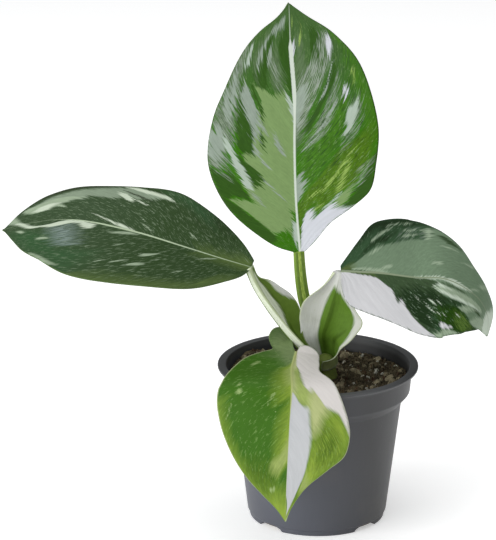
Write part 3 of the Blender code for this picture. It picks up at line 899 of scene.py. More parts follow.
@dataclass
class Leaf:
    """One leaf blade, with its midrib, side veins and markings."""

    name: str
    slot: str
    shape: BladeShape
    skin: PlantSkin
    markings: tuple[Marking, ...]
    seed: float
    aging: Spot = (0.45, 0.75)
    slant: float = 0.30
    vein_count: int = 13
    groove_width: float = 0.09
    vein_fade: float = 0.12
    tip_fade: float = 0.1
    rib_width: float = 0.0030
    ridge_share: float = 0.45
    bulge_share: float = 0.7
    rib_run: tuple[Spot, ...] = ((0.0, 1.0), (0.5, 0.6), (0.9, 0.2), (1.0, 0.0))
    rib_taper: float = 0.8
    rows: int = 150
    columns: int = 35
    thickness: float = 0.0006
    margin_thickness: float = 0.0004
    rib_depth: float = 0.0022
    rib_ridge: float = 0.0004
    vein_relief: float = 0.00008
    quilting: float = 0.00005
    under_relief: float = 0.6
    squash: float = 0.33

    def __post_init__(self) -> None:
        """Prepares the bent sheet and its mean half width."""
        self.sheet = Sheet(self.shape)
        widest = [margin[:, 1].max() for margin in (self.sheet.left_margin, self.sheet.right_margin)]
        self.half_width = float(np.mean(widest))

    def grain(self, spots: np.ndarray) -> np.ndarray:
        """(row, column) spots as millimetres across and along the side veins, the latter squashed."""
        across = (spots[:, 0] - self.slant * np.abs(spots[:, 1])) * self.sheet.length / MM
        along = spots[:, 1] * self.half_width / MM * self.squash
        return np.stack([across, along], axis=-1)

    def relief(self, row: np.ndarray, column: np.ndarray, out: np.ndarray) -> np.ndarray:
        """How far the upper face stands above the plain sheet: a ridge, vein grooves and quilting.

        Args:
            row: Each point's row.
            column: Its column.
            out: Its distance out from the midrib.

        Returns:
            The heights.
        """
        reach = np.abs(column)
        phase = (row - self.slant * reach) * self.vein_count + 0.5 * (column > 0)
        groove = np.exp(-((np.abs(phase - np.round(phase)) / self.groove_width) ** 2))
        swell = np.cos(2 * np.pi * phase)
        fade = np.clip(np.minimum(reach, 1 - reach) / self.vein_fade, 0, 1)
        fade = fade * np.clip((1 - row) / self.tip_fade, 0, 1)
        ridge = np.exp(-((out / (self.ridge_share * self.rib_width)) ** 2)) * (1 - self.rib_taper * row)
        return self.rib_ridge * ridge - fade * (self.vein_relief * groove + self.quilting * swell)

    def build(self, maker: Maker) -> bpy.types.Object:
        """Makes the blade.

        Args:
            maker: What makes the piece.

        Returns:
            The blade, which stands for the CAD blade of the same name.
        """
        shares = np.linspace(-1.0, 1.0, 2 * self.columns + 1)
        row, column = np.meshgrid(np.linspace(0.0, 1.0, self.rows + 1), shares, indexing="ij")
        station, out = self.sheet.on_flat(row, column)
        reach = np.abs(column)
        middle = self.sheet.in_space(station, out, row, reach)
        normal = self.normals(middle)
        plate = self.thickness + (self.margin_thickness - self.thickness) * reach**4
        bulge = np.exp(-((out / (self.bulge_share * self.rib_width)) ** 2)) * (1 - self.rib_taper * row)
        relief = self.relief(row, column, out)
        upper = middle + normal * relief[..., None]
        lower = middle + normal * (self.under_relief * relief - plate - self.rib_depth * bulge)[..., None]
        points = np.concatenate([upper.reshape(-1, 3), lower.reshape(-1, 3)])
        faces = shell_faces(self.rows + 1, 2 * self.columns + 1)
        obj = maker.skin(f"{self.name}_blade", points, faces, self.fields(row, column, out))
        maker.handed_over(obj, self.slot, self.name, material=self.skin.material(f"{self.name}_skin"))
        return obj

    @staticmethod
    def normals(points: np.ndarray) -> np.ndarray:
        """The sheet's upward direction at each point of a grid."""
        normal = np.cross(np.gradient(points, axis=0), np.gradient(points, axis=1))
        normal = normal / np.maximum(np.linalg.norm(normal, axis=-1, keepdims=True), 1e-15)
        normal[-1] = normal[-2]
        return normal

    def fields(self, row: np.ndarray, column: np.ndarray, out: np.ndarray) -> Fields:
        """The pattern fields of both faces, upper face first.

        Args:
            row: Each point's row.
            column: Its column.
            out: Its distance out from the midrib.

        Returns:
            The fields by attribute name.
        """
        spots = np.stack([row.ravel(), column.ravel()], axis=-1)
        places = self.grain(spots)
        seeds = np.where(spots[:, 1] >= 0, 0.0, SIDE_STEP) + SEED_STEP * self.seed
        youngest, oldest = self.aging
        rib_half = 0.5 * self.rib_width * np.interp(spots[:, 0], *zip(*self.rib_run))
        plain = face_fields(
            age=np.clip((spots[:, 0] - youngest) / (oldest - youngest), 0.0, 1.0),
            rib=(rib_half - np.abs(out.ravel())) / MM,
            edge=(1 - np.abs(spots[:, 1])) * self.half_width / MM,
            grain=np.stack([places[:, 0], places[:, 1] / self.squash, seeds], axis=-1),
        )
        return plain | self.skin.tone_fields(self.markings, places, self.grain, spots[:, 1])


@dataclass(frozen=True)
class StalkShape:
    """One petiole's form. A station is (share of the length, left wing, right wing, left turn, right
    turn, stalk, edge).

    The wings are the sheath's widths round the gutter, the turns are how far each wing curls in degrees,
    and stalk and edge are thicknesses. left and right are seen on the open side, with the blade up.
    """

    path: tuple[Place, ...]
    opening: Place
    stations: tuple[tuple[float, ...], ...]


@dataclass
class Stalk:
    """One petiole with its winged sheath."""

    name: str
    slot: str
    shape: StalkShape
    skin: PlantSkin
    markings: tuple[Marking, ...]
    seed: float
    rings: int = 90
    points: int = 18
    back_share: float = 0.62
    breadth: float = 0.62
    rim_start: float = 0.9
    rim_thickness: float = 0.35
    rib_count: float = 5.0
    rib_relief: float = 0.00010
    squash: float = 0.33

    def section(self, sizes: np.ndarray, shares: np.ndarray) -> tuple[np.ndarray, np.ndarray]:
        """One cross-section.

        Args:
            sizes: left wing, right wing, left turn, right turn, stalk and edge.
            shares: Places from the left wing's tip, -1, to the right wing's, 1.

        Returns:
            The open face's and the outer face's points, as (across, towards the open side).
        """
        left, right, left_turn, right_turn, stalk, edge = sizes
        reach = np.abs(shares)
        wing = np.where(shares < 0, left, right)
        full_turn = np.radians(np.where(shares < 0, left_turn, right_turn))
        turn = full_turn * reach
        radius = wing / full_turn
        middle = np.stack([np.sign(shares) * radius * np.sin(turn), radius * (1 - np.cos(turn))], axis=-1)
        normal = np.stack([-np.sign(shares) * np.sin(turn), np.cos(turn)], axis=-1)
        thick = edge + (stalk - edge) * np.exp(-((reach * wing / (self.breadth * stalk)) ** 2))
        rim = 1 - np.clip((reach - self.rim_start) / (1 - self.rim_start), 0, 1) ** 2
        thick = thick * (self.rim_thickness + (1 - self.rim_thickness) * rim)
        ribs = self.rib_relief * np.cos(2 * np.pi * self.rib_count * shares)
        outer = middle - normal * (self.back_share * thick + ribs)[:, None]
        inner = middle + normal * ((1 - self.back_share) * thick)[:, None]
        return inner, outer

    def build(self, maker: Maker) -> bpy.types.Object:
        """Makes the petiole.

        Args:
            maker: What makes the piece.

        Returns:
            The petiole, which stands for the CAD petiole of the same name.
        """
        along = np.linspace(0.0, 1.0, self.rings)
        shares = np.linspace(-1.0, 1.0, 2 * self.points + 1)
        path = Spline.evenly(self.shape.path, self.rings)
        tangents = Spline.unit(np.gradient(path, axis=0))
        stations = np.array(self.shape.stations)
        sizes = Spline.through(stations[:, 0], stations[:, 1:], along)
        faces = ([], [])
        for point, tangent, size in zip(path, tangents, sizes):
            opening = np.asarray(self.shape.opening, float)
            opening = Spline.unit(opening - tangent * (opening @ tangent))
            right = np.cross(tangent, opening)
            for face, flat in zip(faces, self.section(size, shares)):
                face.append(point + flat[:, :1] * right + flat[:, 1:] * opening)
        points = np.concatenate([np.concatenate(face) for face in faces])
        fields = self.fields(along, shares, sizes, float(Spline.along(path)[-1]))
        obj = maker.skin(f"{self.name}_stalk", points, shell_faces(self.rings, len(shares)), fields)
        maker.handed_over(obj, self.slot, self.name, material=self.skin.material(f"{self.name}_skin"))
        return obj

    def fields(self, along: np.ndarray, shares: np.ndarray, sizes: np.ndarray, length: float) -> Fields:
        """The pattern fields of both faces, the open face first.

        Args:
            along: Each ring's share of the length.
            shares: Each point's share of its ring, from -1 to 1.
            sizes: Each ring's sizes, as in section.
            length: The stalk's length.

        Returns:
            The fields by attribute name.
        """
        mean_wing = float(sizes[:, :2].mean()) / MM
        run, share = (grid.ravel() for grid in np.meshgrid(along, shares, indexing="ij"))

        def mapped(spots: np.ndarray) -> np.ndarray:
            """(along, across) spots as millimetres across and along the fibres, the latter squashed."""
            return np.stack([spots[:, 1] * mean_wing, spots[:, 0] * length / MM * self.squash], axis=-1)

        places = mapped(np.stack([run, share], axis=-1))
        widths = np.where(shares[None, :] < 0, sizes[:, :1], sizes[:, 1:2]).ravel()
        seeds = np.full(len(run), SEED_STEP * self.seed)
        plain = face_fields(
            age=run,
            rib=np.full(len(run), OUTSIDE),
            edge=(1 - np.abs(share)) * widths / MM,
            grain=np.stack([places[:, 0], places[:, 1] / self.squash, seeds], axis=-1),
        )
        return plain | self.skin.tone_fields(self.markings, places, mapped)


@dataclass
class Stem:
    """The short main stem, with leaf scars round it and its foot below the soil."""

    path: tuple[Place, ...]
    radii: tuple[float, ...]
    skin: PlantSkin
    slot: str = "stem_green"
    rings: int = 90
    sides: int = 64
    scars: tuple[float, ...] = (0.50, 0.66, 0.82)
    scar_length: float = 0.012
    scar_height: float = 0.00035
    ridge_count: int = 9
    ridge_height: float = 0.00012
    tip_length: float = 0.06

    def build(self, maker: Maker) -> bpy.types.Object:
        """Makes the stem.

        Args:
            maker: What makes the piece.

        Returns:
            The stem, which stands for the CAD stem.
        """
        along = np.linspace(0.0, 1.0, self.rings)
        path = Spline.evenly(self.path, self.rings)
        knots = Spline.along(self.path)
        radii = Spline.through(knots / knots[-1], self.radii, along)
        tangents = Spline.unit(np.gradient(path, axis=0))
        right = Spline.carried(tangents, (1.0, 0.0, 0.0))
        ahead = np.cross(tangents, right)
        angles = np.linspace(0.0, math.tau, self.sides, endpoint=False)
        run, turn = np.meshgrid(along, angles, indexing="ij")
        scar = sum(np.exp(-(((run - place) / self.scar_length) ** 2)) for place in self.scars)
        out = radii[:, None] + self.scar_height * scar + self.ridge_height * np.cos(self.ridge_count * turn)
        out = out * np.sqrt(np.clip((1 - run) / self.tip_length, 0.0, 1.0) * 0.9 + 0.1)
        circle = np.cos(turn)[..., None] * right[:, None] + np.sin(turn)[..., None] * ahead[:, None]
        points = (path[:, None] + out[..., None] * circle).reshape(-1, 3)
        run_mm = run.ravel() * float(Spline.along(path)[-1]) / MM
        fields = {
            "age": run.ravel(),
            "rib": np.full(run.size, OUTSIDE),
            "edge": np.full(run.size, -OUTSIDE),
            "upper": np.ones(run.size),
            "grain": np.stack([turn.ravel() * 6, run_mm, np.zeros(run.size)], axis=-1),
        }
        obj = maker.skin("stem_shaft", points, self.faces(), fields)
        maker.handed_over(obj, self.slot, "stem", material=self.skin.material("stem_skin"))
        return obj

    def faces(self) -> Faces:
        """The faces of a tube with both ends closed."""
        grid = np.arange(self.rings * self.sides).reshape(self.rings, self.sides)
        after = np.roll(grid, -1, axis=1)
        walls = np.stack([grid[:-1], after[:-1], after[1:], grid[1:]], axis=-1).reshape(-1, 4)
        return [tuple(face) for face in walls.tolist()] + [tuple(grid[0][::-1]), tuple(grid[-1])]


@dataclass
class NurseryPot:
    """The round tapered pot, with its lip, rim band, foot and drainage. first_notch is in degrees."""

    finish: Plastic
    slot: str = "pot_plastic"
    band_top_radius: float = 0.0564
    band_foot_radius: float = 0.0552
    band_foot_z: float = 0.0795
    body_top_radius: float = 0.0503
    body_top_z: float = 0.0738
    body_foot_radius: float = 0.0419
    foot_radius: float = 0.0407
    foot_height: float = 0.0032
    wall: float = 0.0015
    floor: float = 0.0020
    lip_depth: float = 0.0010
    lip_round: float = 0.0006
    notch_count: int = 4
    notch_width: float = 0.018
    notch_height: float = 0.0032
    notch_reach: float = 0.012
    notch_sides: int = 48
    first_notch: float = 45.0
    hole_count: int = 4
    hole_radius: float = 0.0045
    hole_circle: float = 0.027
    hole_sides: int = 40
    steps: int = 192
    corner_round: float = 0.0007
    merge: float = 0.00002
    sharp_degrees: float = 38.0

    def __post_init__(self) -> None:
        """Reads the pot's height and lip radius from the frame."""
        low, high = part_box("nursery_pot")
        self.height = float(high[2])
        self.lip_radius = float(high[0] - low[0]) / 2

    def inner_wall(self) -> list[Spot]:
        """The inside, from floor to lip, as (radius, height)."""
        return [
            (self.body_foot_radius - self.wall, self.floor),
            (self.body_top_radius - self.wall, self.body_top_z + self.wall / 2),
            (self.band_foot_radius - self.wall, self.band_foot_z + self.wall / 2),
            (self.band_top_radius - self.wall, self.height),
        ]

    def inner_radius(self, height: float) -> float:
        """The inside's radius at a height."""
        radii, heights = zip(*self.inner_wall())
        return float(np.interp(height, heights, radii))

    def profile(self) -> list[Spot]:
        """The section, from the floor's middle up the inside, over the lip and down the outside."""
        drop = self.height - self.lip_depth
        corners = [
            (0.0, self.floor),
            *self.inner_wall(),
            (self.lip_radius, self.height),
            (self.lip_radius, drop - self.lip_round),
            (self.band_top_radius, drop - 2 * self.lip_round),
            (self.band_foot_radius, self.band_foot_z),
            (self.body_top_radius, self.body_top_z),
            (self.body_foot_radius, self.foot_height + self.lip_round),
            (self.foot_radius, self.foot_height),
            (self.foot_radius, 0.0),
            (0.0, 0.0),
        ]
        return self.rounded(corners)

    def rounded(self, corners: list[Spot], arc_steps: int = 4) -> list[Spot]:
        """The same outline with each inner corner turned into a small arc.

        Args:
            corners: The outline.
            arc_steps: How many straight steps an arc has.

        Returns:
            The rounded outline.
        """
        points: list[Spot] = [corners[0]]
        for before, corner, after in zip(corners, corners[1:], corners[2:]):
            here = np.array(corner)
            back, ahead = np.array(before) - here, np.array(after) - here
            cut = min(self.corner_round, 0.45 * np.linalg.norm(back), 0.45 * np.linalg.norm(ahead))
            start = here + Spline.unit(back) * cut
            end = here + Spline.unit(ahead) * cut
            for share in np.linspace(0.0, 1.0, arc_steps + 1):
                bend = (1 - share) ** 2 * start + 2 * share * (1 - share) * here + share**2 * end
                points.append((float(bend[0]), float(bend[1])))
        points.append(corners[-1])
        return points

    def cutters(self, collection: bpy.types.Collection) -> None:
        """Arched notches through the foot and round holes through the floor.

        Args:
            collection: What the cutters go in.
        """
        for index in range(self.notch_count):
            angle = math.radians(self.first_notch) + index * math.tau / self.notch_count
            bpy.ops.mesh.primitive_cylinder_add(
                vertices=self.notch_sides,
                radius=self.notch_width / 2,
                depth=self.notch_reach,
                location=self.foot_radius * Vector((math.cos(angle), math.sin(angle), 0.0)),
                rotation=(math.pi / 2, 0.0, angle + math.pi / 2),
                scale=(1.0, 2 * self.notch_height / self.notch_width, 1.0),
            )
            self.put_aside(bpy.context.object, collection)
        for index in range(self.hole_count):
            angle = index * math.tau / self.hole_count
            centre = self.hole_circle * Vector((math.cos(angle), math.sin(angle), 0.0))
            bpy.ops.mesh.primitive_cylinder_add(
                vertices=self.hole_sides, radius=self.hole_radius, depth=6 * self.floor, location=centre
            )
            self.put_aside(bpy.context.object, collection)

    @staticmethod
    def put_aside(obj: bpy.types.Object, collection: bpy.types.Collection) -> None:
        """Moves a cutter to its own collection."""
        for owner in list(obj.users_collection):
            owner.objects.unlink(obj)
        collection.objects.link(obj)

    def build(self, maker: Maker) -> bpy.types.Object:
        """Makes the pot.

        Args:
            maker: What makes the piece.

        Returns:
            The pot, which stands for the CAD pot.
        """
        mesh = bpy.data.meshes.new("nursery_pot_wall")
        points = [(radius, 0.0, height) for radius, height in self.profile()]
        mesh.from_pydata(points, [(index, index + 1) for index in range(len(points) - 1)], [])
        obj = maker.piece("nursery_pot_wall", mesh)
        screw = obj.modifiers.new("Turn", "SCREW")
        screw.steps = self.steps
        screw.render_steps = self.steps
        screw.use_merge_vertices = True
        screw.merge_threshold = self.merge
        cutters = bpy.data.collections.new("pot_cutters")
        bpy.context.scene.collection.children.link(cutters)
        self.cutters(cutters)
        cut = obj.modifiers.new("Drainage", "BOOLEAN")
        cut.operand_type = "COLLECTION"
        cut.collection = cutters
        maker.baked(obj)
        for cutter in list(cutters.objects):
            bpy.data.objects.remove(cutter, do_unlink=True)
        bpy.data.collections.remove(cutters)
        maker.tidied(obj.data)
        obj.data.set_sharp_from_angle(angle=math.radians(self.sharp_degrees))
        maker.handed_over(obj, self.slot, "nursery_pot", material=self.finish.material("pot_plastic"))
        return obj


@dataclass(frozen=True)
class Crumbs:
    """One kind of loose bit in the soil, scattered by a node tree."""

    name: str
    finish: Earth
    count: int
    small: float
    large: float
    shape: Place
    seed: int
    roundness: int = 1
    lump_scale: float = 1.7
    lump_depth: float = 1.1

    def tree(self, material: bpy.types.Material) -> bpy.types.NodeTree:
        """The node tree that scatters the bits over a surface.

        Args:
            material: The bits' material.

        Returns:
            The tree, whose named inputs are the bits' number, sizes and seed.
        """
        tree = bpy.data.node_groups.new(self.name, "GeometryNodeTree")
        face = tree.interface
        face.new_socket("Surface", in_out="INPUT", socket_type="NodeSocketGeometry")
        for label in ("Density", "Smallest", "Largest"):
            face.new_socket(label, in_out="INPUT", socket_type="NodeSocketFloat")
        face.new_socket("Seed", in_out="INPUT", socket_type="NodeSocketInt")
        face.new_socket("Bits", in_out="OUTPUT", socket_type="NodeSocketGeometry")
        graph = Graph(tree)
        given = graph.node("NodeGroupInput")
        wires = {socket.name: Wire(graph, socket) for socket in given.outputs if socket.name}
        spread = graph.wire(
            "GeometryNodeDistributePointsOnFaces",
            {"distribute_method": "RANDOM"},
            {"Mesh": wires["Surface"], "Density": wires["Density"], "Seed": wires["Seed"]},
            "Points",
        )
        bit = self.bit(graph)
        turn = self.random(graph, (0.0,) * 3, (math.tau,) * 3, wires["Seed"], "FLOAT_VECTOR")
        size = self.random(graph, wires["Smallest"], wires["Largest"], wires["Seed"], "FLOAT")
        inputs = {"Points": spread, "Instance": bit, "Rotation": turn}
        placed = graph.wire("GeometryNodeInstanceOnPoints", None, inputs)
        inputs = {"Instances": placed, "Scale": graph.scaled((1.0, 1.0, 1.0), size)}
        sized = graph.wire("GeometryNodeScaleInstances", None, inputs)
        real = graph.wire("GeometryNodeRealizeInstances", None, {0: sized})
        dressed = graph.wire("GeometryNodeSetMaterial", None, {"Geometry": real, "Material": material})
        graph.node("NodeGroupOutput", None, {"Bits": dressed})
        return tree

    def bit(self, graph: Graph) -> Wire:
        """One uneven bit, of unit size.

        Args:
            graph: The tree's graph.

        Returns:
            The bit's geometry.
        """
        ball = graph.wire("GeometryNodeMeshIcoSphere", None, {"Radius": 0.5, "Subdivisions": self.roundness})
        place = graph.vector("ADD", {0: graph.wire("GeometryNodeInputPosition"), 1: (self.seed,) * 3})
        inputs = {"Vector": place, "Scale": self.lump_scale, "Detail": 2.0}
        texture = graph.wire("ShaderNodeTexNoise", None, inputs, "Color")
        offset = graph.scaled(graph.vector("SUBTRACT", {0: texture, 1: (0.5, 0.5, 0.5)}), self.lump_depth)
        lumpy = graph.wire("GeometryNodeSetPosition", None, {"Geometry": ball, "Offset": offset})
        return graph.wire("GeometryNodeTransform", None, {"Geometry": lumpy, "Scale": self.shape})

    @staticmethod
    def random(graph: Graph, low: Any, high: Any, seed: Wire, kind: str) -> Wire:
        """A random value of its own for each bit.

        Args:
            graph: The tree's graph.
            low: The lowest value.
            high: The highest value.
            seed: The tree's seed.
            kind: The value's data type.

        Returns:
            The value.
        """
        made = graph.node("FunctionNodeRandomValue", {"data_type": kind}, {"Seed": seed})
        used = [socket for socket in made.inputs if socket.enabled]
        for socket, value in zip(used[:2], (low, high)):
            graph.feed(socket, value)
        return Wire(graph, next(socket for socket in made.outputs if socket.enabled))

    def scattered(self, maker: Maker, ground: bpy.types.Mesh, area: float, slot: str) -> bpy.types.Object:
        """Scatters the bits.

        Args:
            maker: What makes the piece.
            ground: The surface that they lie on.
            area: That surface's area.
            slot: Passed on, but not used.

        Returns:
            All the bits as one piece.
        """
        obj = maker.piece(self.name, ground.copy())
        tree = self.tree(self.finish.material(self.name))
        modifier = obj.modifiers.new("Scatter", "NODES")
        modifier.node_group = tree
        values = {"Density": self.count / area, "Seed": self.seed}
        values |= {"Smallest": self.small, "Largest": self.large}
        for item in tree.interface.items_tree:
            if item.name in values:
                modifier[item.identifier] = values[item.name]
        maker.baked(obj)
        maker.handed_over(obj, slot)
        return obj


@dataclass
class PottingSoil:
    """The crumbly soil, heaped a little at the back left, with bark, perlite and fibres in it."""

    pot: NurseryPot
    earth: Earth
    bits: tuple[Crumbs, ...]
    level: float = 0.0860
    gap: float = 0.0003
    clear_edge: float = 0.0022
    slot: str = "soil_mix"
    rings: int = 100
    sides: int = 340
    broad_relief: float = 0.0018
    fine_relief: float = 0.0011
    crumb_relief: float = 0.0010
    broad_size: float = 0.027
    fine_size: float = 0.009
    crumb_size: float = 0.0030
    seed: Place = (3.1, 7.7, 0.4)
    heap_place: Spot = (-0.0440, 0.0340)
    heap_rise: float = 0.0052
    heap_size: float = 0.017

    def height(self, x: float, y: float) -> float:
        """How high the soil stands at a place."""
        spot = Vector((x, y, 0.0))
        seed = Vector(self.seed)
        broad = noise.noise(spot / self.broad_size + seed)
        fine = noise.noise(spot / self.fine_size + seed)
        crumb = noise.fractal(spot / self.crumb_size + seed, 0.9, 2.2, 4)
        away = math.dist((x, y), self.heap_place) / self.heap_size
        heap = self.heap_rise * math.exp(-(away**2))
        rough = self.level + heap + self.broad_relief * broad
        return rough + self.fine_relief * fine + self.crumb_relief * crumb

    def build(self, maker: Maker) -> bpy.types.Object:
        """Makes the soil and everything loose in it.

        Args:
            maker: What makes the pieces.

        Returns:
            The soil's body, which stands for the CAD soil.
        """
        wall = [(radius - self.gap, z) for radius, z in self.pot.inner_wall() if z < self.level]
        edge = self.pot.inner_radius(self.level) - self.gap
        foot = self.pot.floor + self.gap
        angles = np.linspace(0.0, math.tau, self.sides, endpoint=False)
        circle = np.stack([np.cos(angles), np.sin(angles)], axis=-1)
        points = [(0.0, 0.0, self.height(0.0, 0.0))]
        for radius in np.linspace(0.0, edge, self.rings + 1)[1:]:
            points += [(x, y, self.height(x, y)) for x, y in circle * radius]
        top_count = len(points)
        for radius, z in wall[::-1]:
            points += [(x, y, max(z, foot)) for x, y in circle * radius]
        points.append((0.0, 0.0, foot))
        faces = self.faces(self.rings + len(wall), len(points) - 1)
        obj = maker.skin("potting_soil_body", np.array(points), faces, {})
        maker.handed_over(obj, self.slot, "potting_soil", material=self.earth.material("soil_ground"))
        inner = 1 + self.sides * int(self.rings * (1 - self.clear_edge / edge))
        ground = bpy.data.meshes.new("soil_top")
        ground.from_pydata(points[:top_count], [], [face for face in faces if max(face) < inner])
        for crumbs in self.bits:
            crumbs.scattered(maker, ground, math.pi * edge**2, self.slot)
        return obj

    def faces(self, rings: int, last: int) -> Faces:
        """The faces of rings of points between a first and a last single point.

        Args:
            rings: How many rings there are.
            last: The number of the last point.

        Returns:
            The point numbers round each face.
        """
        grid = 1 + np.arange(rings * self.sides).reshape(rings, self.sides)
        after = np.roll(grid, -1, axis=1)
        walls = np.stack([grid[:-1], grid[1:], after[1:], after[:-1]], axis=-1).reshape(-1, 4)
        heart = [(0, int(a), int(b)) for a, b in zip(grid[0], after[0])]
        foot = [(last, int(b), int(a)) for a, b in zip(grid[-1], after[-1])]
        return heart + [tuple(face) for face in walls.tolist()] + foot


@dataclass
class Studio:
    """The camera, the pale floor and soft light."""

    frame_size: tuple[int, int] = (496, 540)
    focal_px: float = 2673.2
    camera_place: Place = (-0.0418, -1.5135, 0.6141)
    pitch_down: float = 16.94
    sensor_mm: float = 36.0
    floor_size: float = 14.0
    aim: Place = (0.0, 0.0, 0.12)
    room_colour: Colour = (0.96, 0.98, 1.0)
    room_strength: float = 0.2

    def placed(self, name: str, data: Any, place: Place = (0.0, 0.0, 0.0)) -> bpy.types.Object:
        """A new object in the scene, at a place."""
        obj = bpy.data.objects.new(name, data)
        obj.location = place
        bpy.context.scene.collection.objects.link(obj)
        return obj

    def camera(self) -> None:
        """Places the camera as the photograph's was."""
        data = bpy.data.cameras.new("camera")
        data.sensor_width = self.sensor_mm
        data.lens = self.focal_px * self.sensor_mm / max(self.frame_size)
        obj = self.placed("camera", data, self.camera_place)
        obj.rotation_euler = (math.radians(90 - self.pitch_down), 0.0, 0.0)
        bpy.context.scene.camera = obj

    def floor(self) -> None:
        """Lays the pale floor."""
        half = self.floor_size / 2
        corners = [(-half, -half, 0), (half, -half, 0), (half, half, 0), (-half, half, 0)]
        mesh = bpy.data.meshes.new("floor")
        mesh.from_pydata(corners, [], [(0, 1, 2, 3)])
        mesh.materials.append(PaleFloor().material("floor"))
        self.placed("floor", mesh)

    def light(self, name: str, place: Place, size: float, power: float) -> None:
        """Adds a square soft light that points at the plant.

        Args:
            name: Its name.
            place: Where it stands.
            size: Its side.
            power: Its power in watts.
        """
        data = bpy.data.lights.new(name, "AREA")
        data.size = size
        data.energy = power
        obj = self.placed(name, data, place)
        obj.rotation_euler = (Vector(self.aim) - Vector(place)).to_track_quat("-Z", "Y").to_euler()

    def build(self) -> None:
        """Sets up the whole studio."""
        scene = bpy.context.scene
        scene.view_settings.view_transform = "Standard"
        scene.world = bpy.data.worlds.new("soft_room")
        scene.world.use_nodes = True
        room = scene.world.node_tree.nodes["Background"]
        room.inputs["Color"].default_value = (*self.room_colour, 1.0)
        room.inputs["Strength"].default_value = self.room_strength
        self.camera()
        self.floor()
        self.light("top", (0.0, 0.0, 2.4), 3.0, 45.0)
        self.light("key", (-1.8, -1.2, 0.8), 1.5, 34.0)
        self.light("front", (-0.9, -2.5, 0.9), 2.0, 20.0)


TOP_SHAPE = BladeShape(
    midrib=(
        (-0.0111, 0.0, 0.1642), (-0.0134, 0.014, 0.1922), (-0.0142, 0.026, 0.2203),
        (-0.0142, 0.036, 0.2484), (-0.0167, 0.042, 0.281), (-0.0177, 0.038, 0.3058),
    ),
    face=(0.0, -1.0, 0.3),
    left=(
        (0.0, 0.003), (0.003, 0.012), (0.013, 0.026), (0.033, 0.044), (0.053, 0.0515), (0.078, 0.049),
        (0.101, 0.041), (0.12, 0.03), (0.133, 0.018), (0.142, 0.007),
    ),
    right=(
        (0.0, 0.003), (0.006, 0.01), (0.015, 0.019), (0.024, 0.033), (0.034, 0.044), (0.052, 0.0485),
        (0.075, 0.05), (0.096, 0.045), (0.114, 0.038), (0.131, 0.025), (0.142, 0.01),
    ),
    fold_left=(12.0, 8.0, 0.0), fold_right=(12.0, 8.0, 0.0),
)
LEFT_SHAPE = BladeShape(
    midrib=(
        (-0.04, -0.012, 0.1583), (-0.0559, -0.008, 0.162), (-0.0766, -0.003, 0.1673),
        (-0.1123, 0.009, 0.1749), (-0.1513, 0.025, 0.177), (-0.1811, 0.036, 0.1698),
        (-0.1899, 0.039, 0.1665),
    ),
    face=(0.0, -0.4, 1.0),
    left=(
        (0.0, 0.004), (0.002, 0.011), (0.011, 0.022), (0.03, 0.039), (0.049, 0.047), (0.071, 0.052),
        (0.095, 0.053), (0.114, 0.046), (0.137, 0.031), (0.151, 0.015),
    ),
    right=(
        (0.0, 0.006), (0.011, 0.017), (0.029, 0.031), (0.046, 0.038), (0.064, 0.043), (0.088, 0.041),
        (0.11, 0.035), (0.132, 0.031), (0.144, 0.027), (0.154, 0.018),
    ),
    fold_left=(8.0, 6.0, 0.0), fold_right=(8.0, 6.0, 0.0), droop_left=(-8.0, -8.0, 0.0),
    droop_right=(-8.0, -8.0, 0.0),
)
RIGHT_SHAPE = BladeShape(
    midrib=(
        (0.0128, -0.012, 0.1561), (0.0355, -0.011, 0.1546), (0.0574, -0.01, 0.1515),
        (0.0734, -0.008, 0.1502), (0.087, -0.006, 0.1434), (0.0958, -0.005, 0.1354),
        (0.1006, -0.004, 0.1245), (0.1003, -0.004, 0.1133),
    ),
    face=(0.0, -0.6, 1.0),
    left=(
        (0.0, 0.004), (0.002, 0.008), (0.012, 0.028), (0.022, 0.045), (0.036, 0.053), (0.053, 0.051),
        (0.062, 0.042), (0.07, 0.034), (0.079, 0.023), (0.09, 0.016), (0.101, 0.012), (0.107, 0.006),
    ),
    right=(
        (0.0, 0.004), (0.0, 0.012), (0.004, 0.024), (0.014, 0.029), (0.036, 0.036), (0.052, 0.0415),
        (0.07, 0.039), (0.085, 0.033), (0.097, 0.022), (0.106, 0.011),
    ),
    fold_left=(0.0, 0.0, 0.0), fold_right=(0.0, 0.0, 0.0), droop_left=(-12.0, -12.0, -5.0),
    droop_right=(-15.0, -20.0, -10.0),
)
FRONT_SHAPE = BladeShape(
    midrib=(
        (-0.0135, -0.02, 0.1086), (-0.0162, -0.04, 0.1056), (-0.0166, -0.063, 0.1001),
        (-0.0174, -0.069, 0.0901), (-0.0181, -0.072, 0.0778), (-0.0195, -0.073, 0.0468),
        (-0.0204, -0.071, 0.0223),
    ),
    face=(0.0, 0.1, 1.0),
    left=(
        (-0.004, 0.0015), (-0.006, 0.005), (-0.003, 0.012), (0.009, 0.015), (0.029, 0.0175), (0.041, 0.025),
        (0.053, 0.031), (0.07, 0.035), (0.08, 0.033), (0.09, 0.0235), (0.105, 0.0095), (0.116, 0.0035),
    ),
    right=(
        (-0.004, 0.002), (-0.013, 0.005), (-0.0185, 0.009), (-0.0175, 0.0145), (-0.011, 0.0175),
        (-0.005, 0.0165), (0.0, 0.014), (0.006, 0.0185), (0.018, 0.0295), (0.036, 0.04), (0.051, 0.043),
        (0.066, 0.0405), (0.08, 0.035), (0.098, 0.024), (0.11, 0.013), (0.118, 0.005),
    ),
    fold_left=(-5.0, 4.0, 0.0), fold_right=(12.0, 4.0, 0.0), droop_left=(-8.0, -12.0, -4.0),
    droop_right=(-8.0, -12.0, -4.0), lobe_rise=0.25,
)
